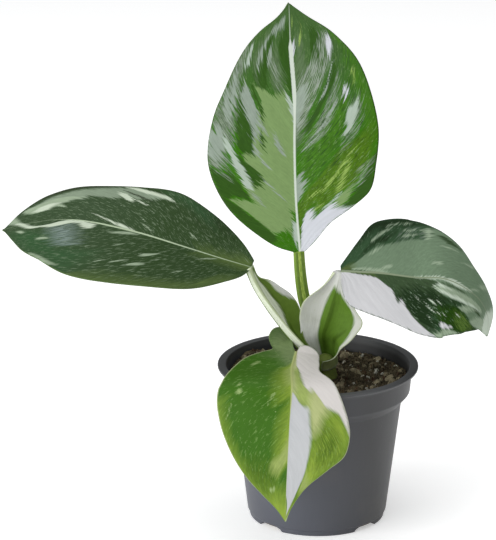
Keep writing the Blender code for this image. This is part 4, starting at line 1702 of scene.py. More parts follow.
TOP_STALK = StalkShape(
    path=(
        (0.001, 0.007, 0.105), (-0.0022, 0.003, 0.115), (-0.0054, 0.001, 0.125), (-0.0083, 0.002, 0.134),
        (-0.0098, 0.002, 0.1423), (-0.011, 0.001, 0.153), (-0.0118, 0.0, 0.1646),
    ),
    opening=(0.1, -1.0, 0.3),
    stations=(
        (0.0, 0.0038, 0.0038, 75.0, 75.0, 0.005, 0.002), (0.4, 0.0032, 0.0032, 70.0, 70.0, 0.0046, 0.0018),
        (1.0, 0.0026, 0.0026, 70.0, 70.0, 0.004, 0.0016),
    ),
)
LEFT_STALK = StalkShape(
    path=(
        (-0.003, -0.0055, 0.0995), (-0.0142, -0.0085, 0.1135), (-0.0216, -0.01, 0.124),
        (-0.0294, -0.0115, 0.1357), (-0.0364, -0.012, 0.1476), (-0.041, -0.012, 0.1584),
    ),
    opening=(0.8, -0.25, 0.5),
    stations=(
        (0.0, 0.007, 0.0034, 95.0, 70.0, 0.0045, 0.0012), (0.2, 0.0075, 0.006, 85.0, 75.0, 0.0048, 0.0009),
        (0.4, 0.0055, 0.016, 75.0, 75.0, 0.005, 0.0009), (0.55, 0.0045, 0.017, 75.0, 75.0, 0.005, 0.0009),
        (0.68, 0.0042, 0.014, 70.0, 70.0, 0.0049, 0.0009),
        (0.8, 0.0038, 0.0098, 70.0, 70.0, 0.0048, 0.0012),
        (0.88, 0.0036, 0.0042, 70.0, 70.0, 0.0047, 0.0015),
        (1.0, 0.0034, 0.0034, 70.0, 70.0, 0.0046, 0.0018),
    ),
)
RIGHT_STALK = StalkShape(
    path=(
        (0.0048, 0.0062, 0.0965), (0.0036, 0.004, 0.105), (0.0032, 0.0, 0.113), (0.0052, -0.0035, 0.1213),
        (0.0086, -0.0065, 0.1356), (0.0112, -0.01, 0.1476), (0.0122, -0.0116, 0.1552),
    ),
    opening=(-0.15, -1.0, 0.25),
    stations=(
        (0.0, 0.01, 0.0245, 80.0, 195.0, 0.004, 0.0012), (0.12, 0.0114, 0.0232, 76.0, 176.0, 0.0041, 0.001),
        (0.22, 0.0134, 0.0195, 70.0, 115.0, 0.0043, 0.0009),
        (0.33, 0.0155, 0.0178, 60.0, 70.0, 0.0045, 0.0009),
        (0.46, 0.018, 0.0206, 48.0, 46.0, 0.0048, 0.0009), (0.62, 0.018, 0.0226, 45.0, 42.0, 0.005, 0.0009),
        (0.82, 0.0105, 0.01, 55.0, 54.0, 0.005, 0.001), (1.0, 0.004, 0.003, 65.0, 65.0, 0.0044, 0.0018),
    ),
)
FRONT_STALK = StalkShape(
    path=(
        (-0.001, -0.0052, 0.0925), (-0.0048, -0.0118, 0.0982), (-0.0092, -0.0163, 0.1028),
        (-0.0134, -0.0208, 0.1056),
    ),
    opening=(0.2, 0.2, 1.0),
    stations=(
        (0.0, 0.0034, 0.0034, 60.0, 60.0, 0.0045, 0.002), (1.0, 0.003, 0.003, 60.0, 60.0, 0.0042, 0.0018),
    ),
)
STEM_PATH = (
    (0.006, 0.0, 0.06), (0.0055, -0.0005, 0.086), (0.0045, -0.001, 0.0945), (0.0036, -0.001, 0.101),
)
STEM_RADII = (0.005, 0.006, 0.0056, 0.0045)
TOP_SKIN = PlantSkin(
    roughness=0.42, specular=0.08, fresh=(0.032, 0.135, 0.002), deep=(0.044, 0.098, 0.024),
    fleck=(0.17, 0.27, 0.1), fleck_share=0.5, rib=(0.5, 0.55, 0.48), edge=(0.03, 0.065, 0.01),
    under=(0.15, 0.23, 0.09),
    tints={
        Tone.LIME: Tint((0.054, 0.124, 0.006), blur_mm=3.0, jag_mm=4.0, mottle=0.6, flecked=1.2),
        Tone.SAGE: Tint((0.166, 0.256, 0.096), flecked=0.55),
        Tone.GREEN: Tint((0.044, 0.135, 0.008), blur_mm=2.5, jag_mm=4.0, mottle=0.45, flecked=0.9),
        Tone.DARK: Tint((0.026, 0.074, 0.008), jag_mm=2.5, mottle=0.22),
        Tone.HAZE: Tint((0.078, 0.13, 0.056), blur_mm=2.0, jag_mm=4.0, mottle=0.4),
        Tone.MIST: Tint((0.225, 0.265, 0.215), blur_mm=2.0, jag_mm=5.0, mottle=0.3, broken=0.49),
        Tone.INK: Tint((0.022, 0.064, 0.01), blur_mm=3.0, jag_mm=4.0, mottle=0.2, broken=0.57),
        Tone.SILVER: Tint((0.232, 0.282, 0.232), blur_mm=0.8, mottle=0.14),
        Tone.GOLD: Tint((0.22, 0.33, 0.075), blur_mm=1.0, mottle=0.25),
        Tone.CREAM: Tint((0.33, 0.395, 0.33), blur_mm=0.7, jag_mm=2.0, mottle=0.08),
        Tone.WHITE: Tint((0.475, 0.49, 0.525), blur_mm=0.8, jag_mm=2.5, mottle=0.03),
    },
)
TOP_MARKINGS: tuple[Marking, ...] = (
    Patch(Tone.LIME, (
        (20, -10), (30, -3), (36, -16), (42, -34), (50, -52), (56, -80), (60, -98), (46, -92), (38, -76),
        (33, -58), (24, -44), (28, -24),
    )),
    # Painted shade: an olive band along the shaded right side of the midrib near the base.
    Patch(Tone.LIME, ((0, -3), (0, -12), (10, -13), (22, -14), (30, -8), (28, -3))),
    Patch(Tone.SAGE, (
        (13, 20), (18, 30), (16, 36), (18, 42), (16, 50), (18, 56), (16, 66), (24, 74), (31, 82), (35, 92),
        (34, 74), (32, 62), (38, 67), (43, 58), (50, 62), (56, 56), (68, 46), (73.5, 62), (72, 42),
        (69, 28), (73, 14), (62, 2), (40, 3), (25, 8),
    )),
    Patch(Tone.SAGE, ((26, -74), (29, -60), (35, -64), (37, -72), (33, -80), (27, -80))),
    Patch(Tone.HAZE, (
        (44, 88), (47, 100), (78, 100), (82, 95), (78, 86), (70, 79), (62, 77), (54, 74), (48, 78),
    )),
    Patch(Tone.HAZE, (
        (50, -2), (60, -2), (74, -3), (82, -8), (90, -16), (90, -30), (85, -29), (78, -25), (70, -22),
        (62, -14), (54, -8),
    )),
    Patch(Tone.HAZE, ((72, 16), (80, 20), (86, 36), (82, 50), (73, 32))),
    Patch(Tone.HAZE, ((74, 58), (80, 60), (87, 62), (90, 74), (86, 80), (79, 72))),
    Patch(Tone.GREEN, (
        (33, -6), (55, -7), (62, -30), (68, -62), (72, -80), (60, -62), (50, -48), (42, -30), (37, -20),
    )),
    Patch(Tone.GREEN, ((60, -80), (72, -84), (88, -98), (62, -100), (56, -96))),
    Patch(Tone.DARK, ((12, 78), (15, 66), (22, 71), (30, 81), (34.5, 92), (36, 100), (12, 100))),
    Patch(Tone.DARK, (
        (34, 100), (35.5, 82), (32.5, 62), (37, 66), (43, 74), (45.5, 80), (43, 86), (46, 100),
    )),
    Patch(Tone.DARK, ((37, 53), (40, 37), (43, 43), (47, 56), (52, 66), (46, 64), (41, 58))),
    Patch(Tone.DARK, (
        (49, 58), (50, 48), (56, 44), (61, 52), (66, 62), (72, 72), (74, 80), (66, 76), (58, 72), (52, 66),
    )),
    Patch(Tone.DARK, ((51, 37), (55, 35), (60, 44), (57, 42), (53, 42))),
    Patch(Tone.DARK, ((60, 40), (64, 39), (73, 64), (71, 62), (66, 48))),
    Patch(Tone.DARK, ((27, -80), (35, -80), (42, -88), (50, -100), (27, -100))),
    Patch(Tone.DARK, ((73, 10), (78, 16), (82, 30), (90, 30), (94, 10), (94, 4), (86, 4), (76, 5))),
    Patch(Tone.DARK, ((72, 40), (80, 44), (90, 56), (86, 70), (78, 70), (73, 60))),
    Patch(Tone.DARK, ((58, -6), (63, -20), (72, -46), (78, -70), (74, -66), (66, -36), (58, -18))),
    Patch(Tone.DARK, ((76, -36), (84, -42), (90, -60), (90, -80), (86, -72), (80, -52))),
    Patch(Tone.MIST, (
        (43, 87), (46, 100), (78, 100), (84, 94), (79, 84), (70, 78), (62, 76), (54, 72), (48, 76),
    )),
    Patch(Tone.MIST, (
        (56, -1), (74, -3), (77, -14), (80, -36), (86, -64), (87, -88), (82, -80), (77, -58), (71, -34),
        (65, -18), (59, -8),
    )),
    Patch(Tone.MIST, ((50, -12), (58, -20), (68, -46), (74, -66), (66, -58), (56, -34))),
    Patch(Tone.MIST, ((50, -60), (57, -60), (66, -74), (64, -84), (56, -76))),
    Patch(Tone.MIST, ((36, -74), (43, -80), (45, -88), (38, -86))),
    Patch(Tone.MIST, ((74, 22), (78, 24), (81, 34), (79, 38), (75, 28))),
    Patch(Tone.INK, ((36, -6), (56, -7), (66, -24), (74, -50), (84, -80), (80, -96), (60, -92), (46, -60))),
    Patch(Tone.INK, ((46, 84), (50, 100), (78, 100), (78, 88), (66, 78), (54, 76))),
    Patch(Tone.SILVER, ((47, 90), (50, 100), (56, 100), (58, 90), (55, 82), (50, 80))),
    Stroke(Tone.SILVER, ((60, 84), (66, 90), (72, 96)), 2.2),
    Stroke(Tone.SILVER, ((62, 80), (70, 86), (76, 92)), 1.6),
    Patch(Tone.SILVER, (
        (49, 42), (54, 44), (60, 42), (64, 48), (70, 62), (75, 79), (70, 76), (64, 66), (59, 52), (53, 48),
    )),
    Patch(Tone.SILVER, ((60, -2), (74, -3), (74, -10), (72, -20), (66, -12))),
    Patch(Tone.SILVER, ((31, -3), (44, -2), (43, -8), (38, -13), (34, -10))),
    Stroke(Tone.SILVER, ((52, -14), (58, -30), (64, -46)), 1.5),
    Stroke(Tone.SILVER, ((66, -28), (72, -48), (78, -68)), 1.5),
    Stroke(Tone.SILVER, ((60, -40), (65, -50), (67, -58)), 1.4),
    Stroke(Tone.SILVER, ((32, 18), (36, 28), (40, 38)), 1.7),
    Stroke(Tone.SILVER, ((49, 12), (52, 18), (57, 23)), 1.6),
    Stroke(Tone.SILVER, ((50, 46), (47, 36), (44, 30)), 1.2),
    Stroke(Tone.SILVER, ((55, 30), (60, 40)), 1.2),
    Stroke(Tone.SILVER, ((31, 52), (36, 58)), 1.2),
    Stroke(Tone.GOLD, ((33, -28), (36, -40), (40, -46)), 1.3),
    Stroke(Tone.GOLD, ((38, -44), (42, -54), (45, -58)), 1.2),
    Stroke(Tone.GOLD, ((44, -58), (47, -61), (50, -72)), 1.4),
    Stroke(Tone.GOLD, ((22, -22), (26, -32), (29, -46)), 1.6),
    Stroke(Tone.GOLD, ((32, -20), (35, -30)), 1.0),
    Stroke(Tone.GOLD, ((86.5, -20), (88.5, -28)), 1.4),
    Stroke(Tone.GOLD, ((90, -36), (92, -50)), 1.0),
    Stroke(Tone.GOLD, ((70, -84), (73, -86)), 0.8),
    Stroke(Tone.GOLD, ((34, -58), (40, -60), (46, -66)), 1.4),
    Stroke(Tone.GOLD, ((93, -10), (95, -20)), 1.4),
    Stroke(Tone.SILVER, ((90.5, 70), (92.5, 50), (94.5, 30)), 2.0),
    Stroke(Tone.SILVER, ((77, 62), (83, 66), (88.5, 66)), 0.9),
    Stroke(Tone.SILVER, ((79, 44), (83, 48), (86, 47)), 0.7),
    Patch(Tone.CREAM, ((3, 22), (12, 19), (21, 10), (32, 3), (42, 1), (30, 0), (20, 5), (10, 11))),
    Patch(Tone.CREAM, (
        (36.5, 56), (38, 63), (42, 66), (47, 72), (53, 81), (56, 84), (52, 73), (46, 62), (41, 55),
    )),
    Patch(Tone.CREAM, ((77, 77), (78, 85), (82, 88), (85, 93), (84, 86), (80, 80))),
    Stroke(Tone.CREAM, ((33, -60), (28, -54), (22, -40)), 1.3),
    Stroke(Tone.CREAM, ((28, -56), (35, -63)), 1.3),
    Patch(Tone.CREAM, ((60, 1), (66, 7), (72, 15), (70, 7), (67, 1))),
    Patch(Tone.CREAM, ((55.5, -60), (60, -62), (64, -68), (64.5, -80), (60, -74), (57, -67))),
    Patch(Tone.WHITE, (
        (0, -10), (10, -11), (20, -13), (25, -18), (27, -27), (25, -33), (20.5, -39), (24, -46), (28, -56),
        (29, -62), (27, -70), (27, -80), (26, -100), (0, -100),
    )),
    Patch(Tone.WHITE, ((79, -62), (82, -68), (85, -80), (87, -90), (84, -87), (81, -76))),
    Patch(Tone.WHITE, ((66.5, -69), (68, -66), (70, -69), (69, -74), (67.5, -73))),
    Patch(Tone.WHITE, (
        (66, 1), (74, 4), (80, 3), (86.5, 3), (87, -2), (89, -9), (84, -6), (76, -3), (68, -1),
    )),
)
LEFT_SKIN = PlantSkin(
    roughness=0.42, specular=0.05, fresh=(0.024, 0.05, 0.014), deep=(0.036, 0.064, 0.028),
    fleck=(0.155, 0.21, 0.13), fleck_share=0.62, fleck_rarity=0.58, rib=(0.4, 0.49, 0.33),
    edge=(0.085, 0.13, 0.04), under=(0.1, 0.16, 0.08),
    tints={
        Tone.LIME: Tint((0.078, 0.12, 0.032), blur_mm=5.0, mottle=0.2),
        Tone.GREEN: Tint((0.03, 0.076, 0.028), blur_mm=5.0, mottle=0.2, flecked=0.8),
        Tone.SAGE: Tint((0.2, 0.255, 0.18), blur_mm=0.8, jag_mm=1.6, mottle=0.14),
        Tone.DARK: Tint((0.028, 0.04, 0.02), blur_mm=0.8, jag_mm=1.0),
        # On this leaf SILVER is a painted highlight: a bluish glare on the blade, broken by threads.
        Tone.SILVER: Tint(
            (0.225, 0.285, 0.272), blur_mm=4.0, jag_mm=2.5, mottle=0.3, broken=0.44, flecked=0.4,
        ),
        Tone.CREAM: Tint((0.27, 0.34, 0.235), blur_mm=0.7, jag_mm=0.8),
        Tone.WHITE: Tint((0.48, 0.55, 0.43), blur_mm=0.7, jag_mm=0.8, mottle=0.05),
    },
)
LEFT_MARKINGS: tuple[Marking, ...] = (
    Patch(Tone.LIME, ((0, 50), (0, -60), (8, -50), (14, -20), (30, -6), (30, 4), (12, 20), (7, 40))),
    Patch(Tone.LIME, ((12, 84), (20, 72), (26, 84), (44, 92), (60, 95), (60, 100), (12, 100))),
    Patch(Tone.SAGE, (
        (50, -82), (53, -73), (58, -70), (63, -74), (66.5, -66), (70, -70), (73.5, -72), (75, -63),
        (80, -60), (83, -52), (86, -44), (88.5, -50), (90.5, -74), (88, -83), (80, -88), (72, -92),
        (66, -96), (61, -94), (55, -88),
    )),
    Patch(Tone.GREEN, ((62, 56), (70, 66), (78, 46), (86, 40), (93, 48), (94, 90), (80, 97), (62, 97))),
    Patch(Tone.GREEN, ((30, -70), (40, -82), (50, -90), (50, -100), (30, -100))),
    Stroke(Tone.DARK, ((53, -68), (59, -78), (64, -90)), 1.5),
    # Painted shade: a dark band along the right margin towards the tip.
    Stroke(Tone.DARK, ((66, -99), (76, -97), (90, -93)), 1.0),
    # Painted highlight: the bluish glare on the blade's left half.
    Patch(Tone.SILVER, ((69, 54), (72, 62), (76, 50), (80, 34), (81, 21), (78, 16), (74.5, 28), (72, 42))),
    Stroke(Tone.CREAM, ((22, 6), (26, 13), (30, 22)), 1.3),
    Stroke(Tone.CREAM, ((50, -10), (55, -19)), 1.1),
    Stroke(Tone.CREAM, ((54, 4), (59, 7), (63, 11)), 1.2),
    Stroke(Tone.CREAM, ((44, 31), (45, 36), (47.5, 38)), 1.9),
    Stroke(Tone.CREAM, ((45, 58), (48, 61), (50, 66)), 1.7),
    Stroke(Tone.CREAM, ((50.5, 56), (54, 63)), 1.4),
    Stroke(Tone.CREAM, ((56.5, 64), (58, 68)), 1.3),
    Stroke(Tone.CREAM, ((33, 59), (34.5, 62)), 1.8),
    Stroke(Tone.CREAM, ((42, 43), (43, 45)), 1.4),
    Stroke(Tone.CREAM, ((64, 46), (65, 49)), 1.4),
    Stroke(Tone.CREAM, ((79, 57), (81, 60), (82, 56)), 1.6),
    Stroke(Tone.CREAM, ((91, 60), (92, 54), (93, 48)), 1.3),
    Stroke(Tone.CREAM, ((56, 28), (58, 36)), 0.9),
    Stroke(Tone.CREAM, ((52, -46), (53.5, -50)), 1.3),
    Stroke(Tone.CREAM, ((48, -33), (49, -37)), 1.2),
    Stroke(Tone.CREAM, ((54, -26), (56, -33)), 1.1),
    Stroke(Tone.CREAM, ((33, -25), (37, -31)), 1.1),
    Stroke(Tone.CREAM, ((27, -30), (30, -36)), 0.9),
    Stroke(Tone.CREAM, ((36, -63), (37, -66)), 1.3),
    Stroke(Tone.CREAM, ((62, -48), (65, -56)), 0.9),
    Stroke(Tone.CREAM, ((80.5, -42), (81.5, -48), (82, -55)), 1.3),
    Stroke(Tone.CREAM, ((66, 95), (72, 97), (80, 96)), 0.9),
    Stroke(Tone.CREAM, ((4, -34), (8, -44)), 2.0),
    Patch(Tone.CREAM, ((94.5, -20), (96.5, -30), (97.5, -70), (97, -100), (94.5, -100), (94.5, -60))),
    Patch(Tone.CREAM, (
        (74, -68), (79, -61), (83, -54), (87, -42), (90, -50), (91.5, -66), (92, -90), (90, -90), (88, -80),
        (84, -78), (79, -76),
    )),
    Patch(Tone.WHITE, (
        (69, 4), (69, 13), (71, 16.5), (73, 13), (74.5, 6.5), (77, 8), (80, 18), (83, 26), (86, 25),
        (88.5, 33), (91, 31), (93.5, 16), (95.5, -10), (96.5, -30), (95, -30), (93.5, -8), (92, 8),
        (90, 20), (88, 22), (85.5, 18), (83.5, 14), (81, 5), (78, 1), (74, 0),
    )),
    Patch(Tone.WHITE, (
        (46, -79), (50, -78), (53, -83), (58, -88), (63, -97), (60, -98), (55, -92), (49, -86),
    )),
    Patch(Tone.WHITE, ((60, -59), (62.5, -66), (64.8, -78), (64.5, -85), (62, -80), (60.5, -70))),
    Patch(Tone.WHITE, ((81, -60), (84, -53), (86.5, -44), (88.5, -48), (90, -62), (87, -66), (84, -66))),
    Stroke(Tone.WHITE, ((54, -59), (58, -65), (62, -74)), 1.0),
    Stroke(Tone.WHITE, ((56, -3), (62, -6), (67, -14), (72, -23)), 1.3),
)
RIGHT_SKIN = PlantSkin(
    roughness=0.42, specular=0.06, fresh=(0.026, 0.066, 0.026), deep=(0.04, 0.082, 0.04),
    fleck=(0.22, 0.31, 0.21), fleck_share=0.32, fleck_rarity=0.62, rib=(0.215, 0.261, 0.166),
    edge=(0.045, 0.075, 0.04), under=(0.12, 0.18, 0.1),
    tints={
        Tone.LIME: Tint((0.075, 0.11, 0.03), blur_mm=4.0, jag_mm=2.0),
        Tone.SAGE: Tint((0.14, 0.208, 0.128), blur_mm=0.8, jag_mm=1.5, mottle=0.16, flecked=0.7),
        Tone.GREEN: Tint((0.014, 0.046, 0.002), blur_mm=2.0, mottle=0.55, flecked=1.4),
        Tone.DARK: Tint((0.034, 0.064, 0.025), blur_mm=1.0, jag_mm=1.5, mottle=0.3, flecked=0.35),
        Tone.MIST: Tint((0.11, 0.15, 0.11), blur_mm=1.5, mottle=0.2, broken=0.52),
        Tone.INK: Tint((0.008, 0.024, 0.005), blur_mm=2.5, jag_mm=4.0, mottle=0.3, flecked=2.0),
        Tone.SILVER: Tint((0.27, 0.345, 0.24), blur_mm=0.8, jag_mm=1.5, mottle=0.16),
        Tone.GOLD: Tint((0.09, 0.16, 0.03), blur_mm=2.0, jag_mm=2.0, mottle=0.35, broken=0.45),
        Tone.CREAM: Tint((0.5, 0.58, 0.47), blur_mm=0.8, jag_mm=1.2, mottle=0.06),
        Tone.WHITE: Tint((0.52, 0.52, 0.532), blur_mm=0.7, jag_mm=1.0, mottle=0.02),
    },
)
RIGHT_MARKINGS: tuple[Marking, ...] = (
    Patch(Tone.LIME, ((0, 8), (10, 8), (14, 16), (12, 34), (8, 45), (0, 40))),
    Patch(Tone.LIME, ((4, -1), (12, 4), (22, 1), (33, -3), (32, -9), (20, -7), (4, -6))),
    Patch(Tone.SAGE, (
        (10, 34), (14, 36), (20, 43), (24, 50), (34, 57), (36.5, 53), (42, 55), (50, 61), (58, 65),
        (60, 72), (60.5, 90), (62, 100), (130, 100), (130, -100), (88, -100), (84, -86), (80, -84),
        (79, -74), (77.5, -65), (74, -52), (71, -47), (75.5, -37), (70, -36), (65, -35), (61, -29),
        (57.5, -17), (62, -10), (53, -3), (45, -4), (34, -3), (28, 0), (20, 5), (12, 10),
    )),
    Patch(Tone.GREEN, (
        (55, -42), (60, -43), (66, -43), (71, -48), (74, -54), (77.5, -64), (79, -73), (80, -82), (84, -88),
        (88, -100), (72, -100), (66, -88), (57, -80), (54, -60),
    )),
    Patch(Tone.DARK, (
        (34, -4), (45, -5), (53, -3.5), (62, -10), (57.5, -17), (61, -29), (65, -36), (75.5, -38),
        (71, -45), (62, -42), (55, -38), (53, -54), (52, -74), (54, -92), (50, -90), (42, -56), (36, -30),
        (31, -14),
    )),
    Stroke(Tone.DARK, ((63, 88), (67, 88), (71, 90)), 1.8),
    Stroke(Tone.DARK, ((80, -41), (84, -43), (87, -47)), 2.2),
    Stroke(Tone.DARK, ((63, -10), (70, -11), (76, -12)), 1.1),
    Patch(Tone.MIST, ((42, 56), (50, 62), (58, 66), (60, 78), (57, 88), (50, 84), (44, 72))),
    Patch(Tone.MIST, ((50, -74), (53, -68), (55, -76), (55, -92), (53, -94))),
    Patch(Tone.INK, (
        (44, -30), (50, -20), (57, -20), (60, -32), (66, -42), (64, -52), (58, -50), (56, -66), (57, -86),
        (53, -92), (47, -68), (44, -54), (42, -56), (41, -42),
    )),
    Patch(Tone.INK, ((60, -34), (66, -39), (75, -39), (71, -44), (64, -42))),
    Patch(Tone.INK, ((20, 52), (30, 60), (38, 62), (42, 72), (34, 70), (24, 62))),
    Patch(Tone.INK, ((18, 90), (40, 86), (56, 90), (60, 100), (18, 100))),
    Patch(Tone.SILVER, ((53, -96), (58, -88), (66, -90), (74, -99), (74, -100), (54, -100))),
    Patch(Tone.SILVER, (
        (58, -15), (66, -14), (76, -15), (85, -20), (88, -32), (76, -33), (66, -30), (60, -23),
    )),
    Patch(Tone.SILVER, ((71, -48), (75, -41), (80, -39), (84, -40), (80, -44), (77, -52), (76, -56))),
    Patch(Tone.SILVER, ((79, -74), (83, -60), (88, -46), (93, -30), (96, -50), (94, -98), (84, -88))),
    Stroke(Tone.SILVER, ((12, 14), (20, 10), (30, 4), (36, 1)), 1.3),
    Stroke(Tone.SILVER, ((44, 66), (50, 68), (56, 72)), 0.4),
    Stroke(Tone.SILVER, ((46, 76), (52, 78), (58, 84)), 0.4),
    Stroke(Tone.SILVER, ((40, 88), (48, 90), (54, 93)), 0.3),
    Stroke(Tone.SILVER, ((72, 60), (76, 80), (78, 96)), 0.9),
    Stroke(Tone.SILVER, ((78, 6), (80, 20), (82, 36)), 1.0),
    Stroke(Tone.SILVER, ((30, 71.5), (34.5, 73), (37.5, 77), (42, 84)), 1.1),
    Stroke(Tone.SILVER, ((59.5, 68), (60, 80), (60, 92)), 1.0),
    Stroke(Tone.SILVER, ((64, 68), (67, 73), (70, 80)), 1.0),
    Stroke(Tone.SILVER, ((60, 27), (63.5, 29)), 1.0),
    Stroke(Tone.SILVER, ((33, 12), (38, 14)), 1.0),
    Stroke(Tone.SILVER, ((27, 46), (34, 50)), 0.8),
    Stroke(Tone.SILVER, ((82, 50), (84, 80), (85, 100)), 1.0),
    Patch(Tone.GOLD, ((70, -58), (76, -62), (79, -78), (82, -92), (76, -98), (70, -84))),
    Stroke(Tone.CREAM, ((57.5, -17), (61, -24), (67, -30), (76, -33), (86, -34)), 1.2),
    Stroke(Tone.CREAM, ((59, -14), (64, -15), (68, -17)), 0.8),
    Stroke(Tone.CREAM, ((55.5, -39), (56.2, -47)), 1.2),
    Stroke(Tone.CREAM, ((58.5, -40), (60, -46)), 0.8),
    Stroke(Tone.CREAM, ((53, -44), (54, -50)), 0.8),
    Stroke(Tone.CREAM, ((50, -36), (51, -42)), 0.7),
    Stroke(Tone.CREAM, ((54.5, -56), (55.5, -62)), 0.8),
    Stroke(Tone.CREAM, ((53, -66), (53.5, -70)), 0.8),
    Stroke(Tone.CREAM, ((70, -62), (73, -66)), 0.7),
    Stroke(Tone.CREAM, ((61, -62), (63, -67)), 0.7),
    Stroke(Tone.CREAM, ((57.5, -60), (58, -64)), 0.7),
    Patch(Tone.CREAM, (
        (49, 0), (58, 2), (66, 3), (69, 6.5), (72, 5), (78, 4), (79, 2), (75, -4), (72, -8), (65, -3),
        (56, -1),
    )),
    Patch(Tone.CREAM, (
        (91, 100), (91, 40), (90, 0), (90, -40), (92, -80), (95, -100), (130, -100), (130, 100),
    )),
    Patch(Tone.WHITE, (
        (0, -6), (12, -7), (20, -9), (28, -12), (31, -17), (34, -25), (38, -32), (40, -43), (41, -52),
        (42.3, -61), (43, -52), (43.7, -47), (45, -58), (47, -70), (49, -78), (52, -93), (55, -100),
        (0, -100),
    )),
    Patch(Tone.WHITE, ((57.5, -76), (60, -77), (64, -81), (68, -86), (67, -88.5), (61, -87), (57.5, -84))),
)
FRONT_SKIN = PlantSkin(
    roughness=0.45, fresh=(0.034, 0.106, 0.004), deep=(0.036, 0.112, 0.006), fleck=(0.19, 0.31, 0.09),
    fleck_share=0.44, rib=(0.33, 0.37, 0.14), edge=(0.36, 0.4, 0.22), under=(0.16, 0.24, 0.09),
    tints={
        Tone.SAGE: Tint((0.14, 0.2, 0.08), blur_mm=6.0, mottle=0.2),
        Tone.LIME: Tint((0.195, 0.28, 0.032), blur_mm=4.5, jag_mm=1.2, mottle=0.26, flecked=0.6),
        Tone.GREEN: Tint((0.07, 0.13, 0.008), blur_mm=5.0, mottle=0.45, broken=0.4, flecked=0.7),
        Tone.SILVER: Tint((0.25, 0.34, 0.13), blur_mm=0.6, jag_mm=0.8, mottle=0.1),
        Tone.GOLD: Tint((0.24, 0.305, 0.085), blur_mm=2.0, jag_mm=1.0, mottle=0.14),
        Tone.CREAM: Tint((0.34, 0.375, 0.165), blur_mm=1.6, jag_mm=0.6, mottle=0.08),
        Tone.BLUSH: Tint((0.535, 0.51, 0.49), blur_mm=1.2, jag_mm=0.4, mottle=0.03),
        Tone.WHITE: Tint((0.402, 0.411, 0.42), blur_mm=1.0, jag_mm=0.3, mottle=0.03),
    },
)
FRONT_MARKINGS: tuple[Marking, ...] = (
    Patch(Tone.SAGE, ((0, 12), (14, 10), (24, 2), (26, -20), (24, -60), (30, -100), (0, -100))),
    Stroke(Tone.SAGE, ((20, -50), (25, -60), (29, -76)), 2.5),
    Patch(Tone.LIME, ((24, 4), (26, -14), (30, -30), (36, -30), (44, -22), (52, -12), (58, -2), (50, 2))),
    Patch(Tone.LIME, (
        (54.5, 84), (55, 64), (60, 48), (63.5, 38), (70, 38), (76, 46), (82, 56), (87, 64), (89.5, 76),
        (90, 100), (64, 100), (60, 93),
    )),
    Patch(Tone.LIME, ((62, -99), (76, -96), (84, -90), (90, -76), (92, -100), (62, -101))),
    Patch(Tone.LIME, ((48, -2), (58, -8), (68, -13), (76, -22), (82, -16), (84, -2))),
    Patch(Tone.LIME, (
        (90, -100), (88, -50), (90, 0), (93.5, 4), (94, 40), (92, 100), (130, 100), (130, -100),
    )),
    Patch(Tone.GREEN, ((60, 52), (66, 44), (74, 56), (78, 76), (74, 94), (66, 90), (60, 74))),
    Patch(Tone.GREEN, ((80, -30), (86, -36), (90, -70), (86, -90), (80, -86))),
    Patch(Tone.GOLD, (
        (25, 4), (26, 20), (30, 27), (36, 31), (40, 27), (44, 27), (46.5, 36), (47, 48), (50, 56), (55, 60),
        (56, 44), (54, 32), (54, 24), (52, 16), (48, 6),
    )),
    Patch(Tone.GOLD, (
        (66, -2), (72, -8), (75.5, -16), (76.5, -27), (78.5, -34), (81, -30), (82, -18), (82, -2),
    )),
    Patch(Tone.GOLD, ((80, 56), (84, 62), (88, 74), (89, 100), (84, 100), (83, 76))),
    Patch(Tone.CREAM, (
        (46, 44), (48, 54), (52, 62), (54.5, 70), (56, 58), (61, 50), (65, 39), (58, 34), (53, 34),
        (49, 38),
    )),
    Patch(Tone.CREAM, ((0, 2), (12, 2), (26, 3), (40, 3), (28, 16), (24, 20), (14, 16), (0, 22))),
    Stroke(Tone.CREAM, ((25, 5), (34, 5), (44, 4), (52, 3)), 1.2),
    Stroke(Tone.SILVER, ((50, -26), (53, -28)), 0.5),
    Stroke(Tone.SILVER, ((54, -30), (56, -32)), 0.5),
    Stroke(Tone.SILVER, ((51, -78), (53, -75)), 0.4),
    Stroke(Tone.SILVER, ((54, -74), (56, -70)), 0.4),
    Stroke(Tone.SILVER, ((37, -81), (41, -81)), 0.4),
    Stroke(Tone.SILVER, ((60, -80), (63, -84)), 0.4),
    Stroke(Tone.SILVER, ((57, -19), (58, -22)), 0.6),
    Stroke(Tone.SILVER, ((64, -86), (66, -89)), 0.6),
    Stroke(Tone.SILVER, ((72, -62), (74, -66)), 0.6),
    Stroke(Tone.SILVER, ((79, -50), (80, -53)), 0.6),
    Stroke(Tone.SILVER, ((87.5, -34), (88.5, -56)), 0.5),
    Patch(Tone.GOLD, ((25, -2), (27, -12), (31, -22), (36, -16), (44, -8), (54, -2))),
    Patch(Tone.BLUSH, (
        (0, 18), (6, 12), (15, 11), (24, 16), (27, 24), (33, 31), (38, 28), (42, 27), (45, 29), (47, 37),
        (46, 46), (50, 57), (53, 64), (54, 76), (55, 86), (60, 94), (63, 100), (0, 100),
    )),
    Patch(Tone.WHITE, (
        (49, 7), (52, 15), (54, 24), (54, 33), (60, 33), (64, 36), (70, 38), (76, 45), (82, 55), (87, 62),
        (90, 66), (93, 66), (96, 58), (98.5, 40), (99, 2), (92, 0), (86, -4), (78, -3), (70, -1), (60, 0),
        (55, 3),
    )),
)
GREEN_STALK_SKIN = PlantSkin(
    roughness=0.45, fresh=(0.172, 0.272, 0.032), deep=(0.2, 0.29, 0.045), fleck=(0.34, 0.44, 0.1),
    fleck_share=0.85, fleck_rarity=0.52, rib=(0.3, 0.4, 0.1), edge=(0.07, 0.13, 0.02), edge_mm=0.7,
    under=(0.21, 0.32, 0.05), under_share=0.6, across_mm=0.7, along_mm=16.0,
)
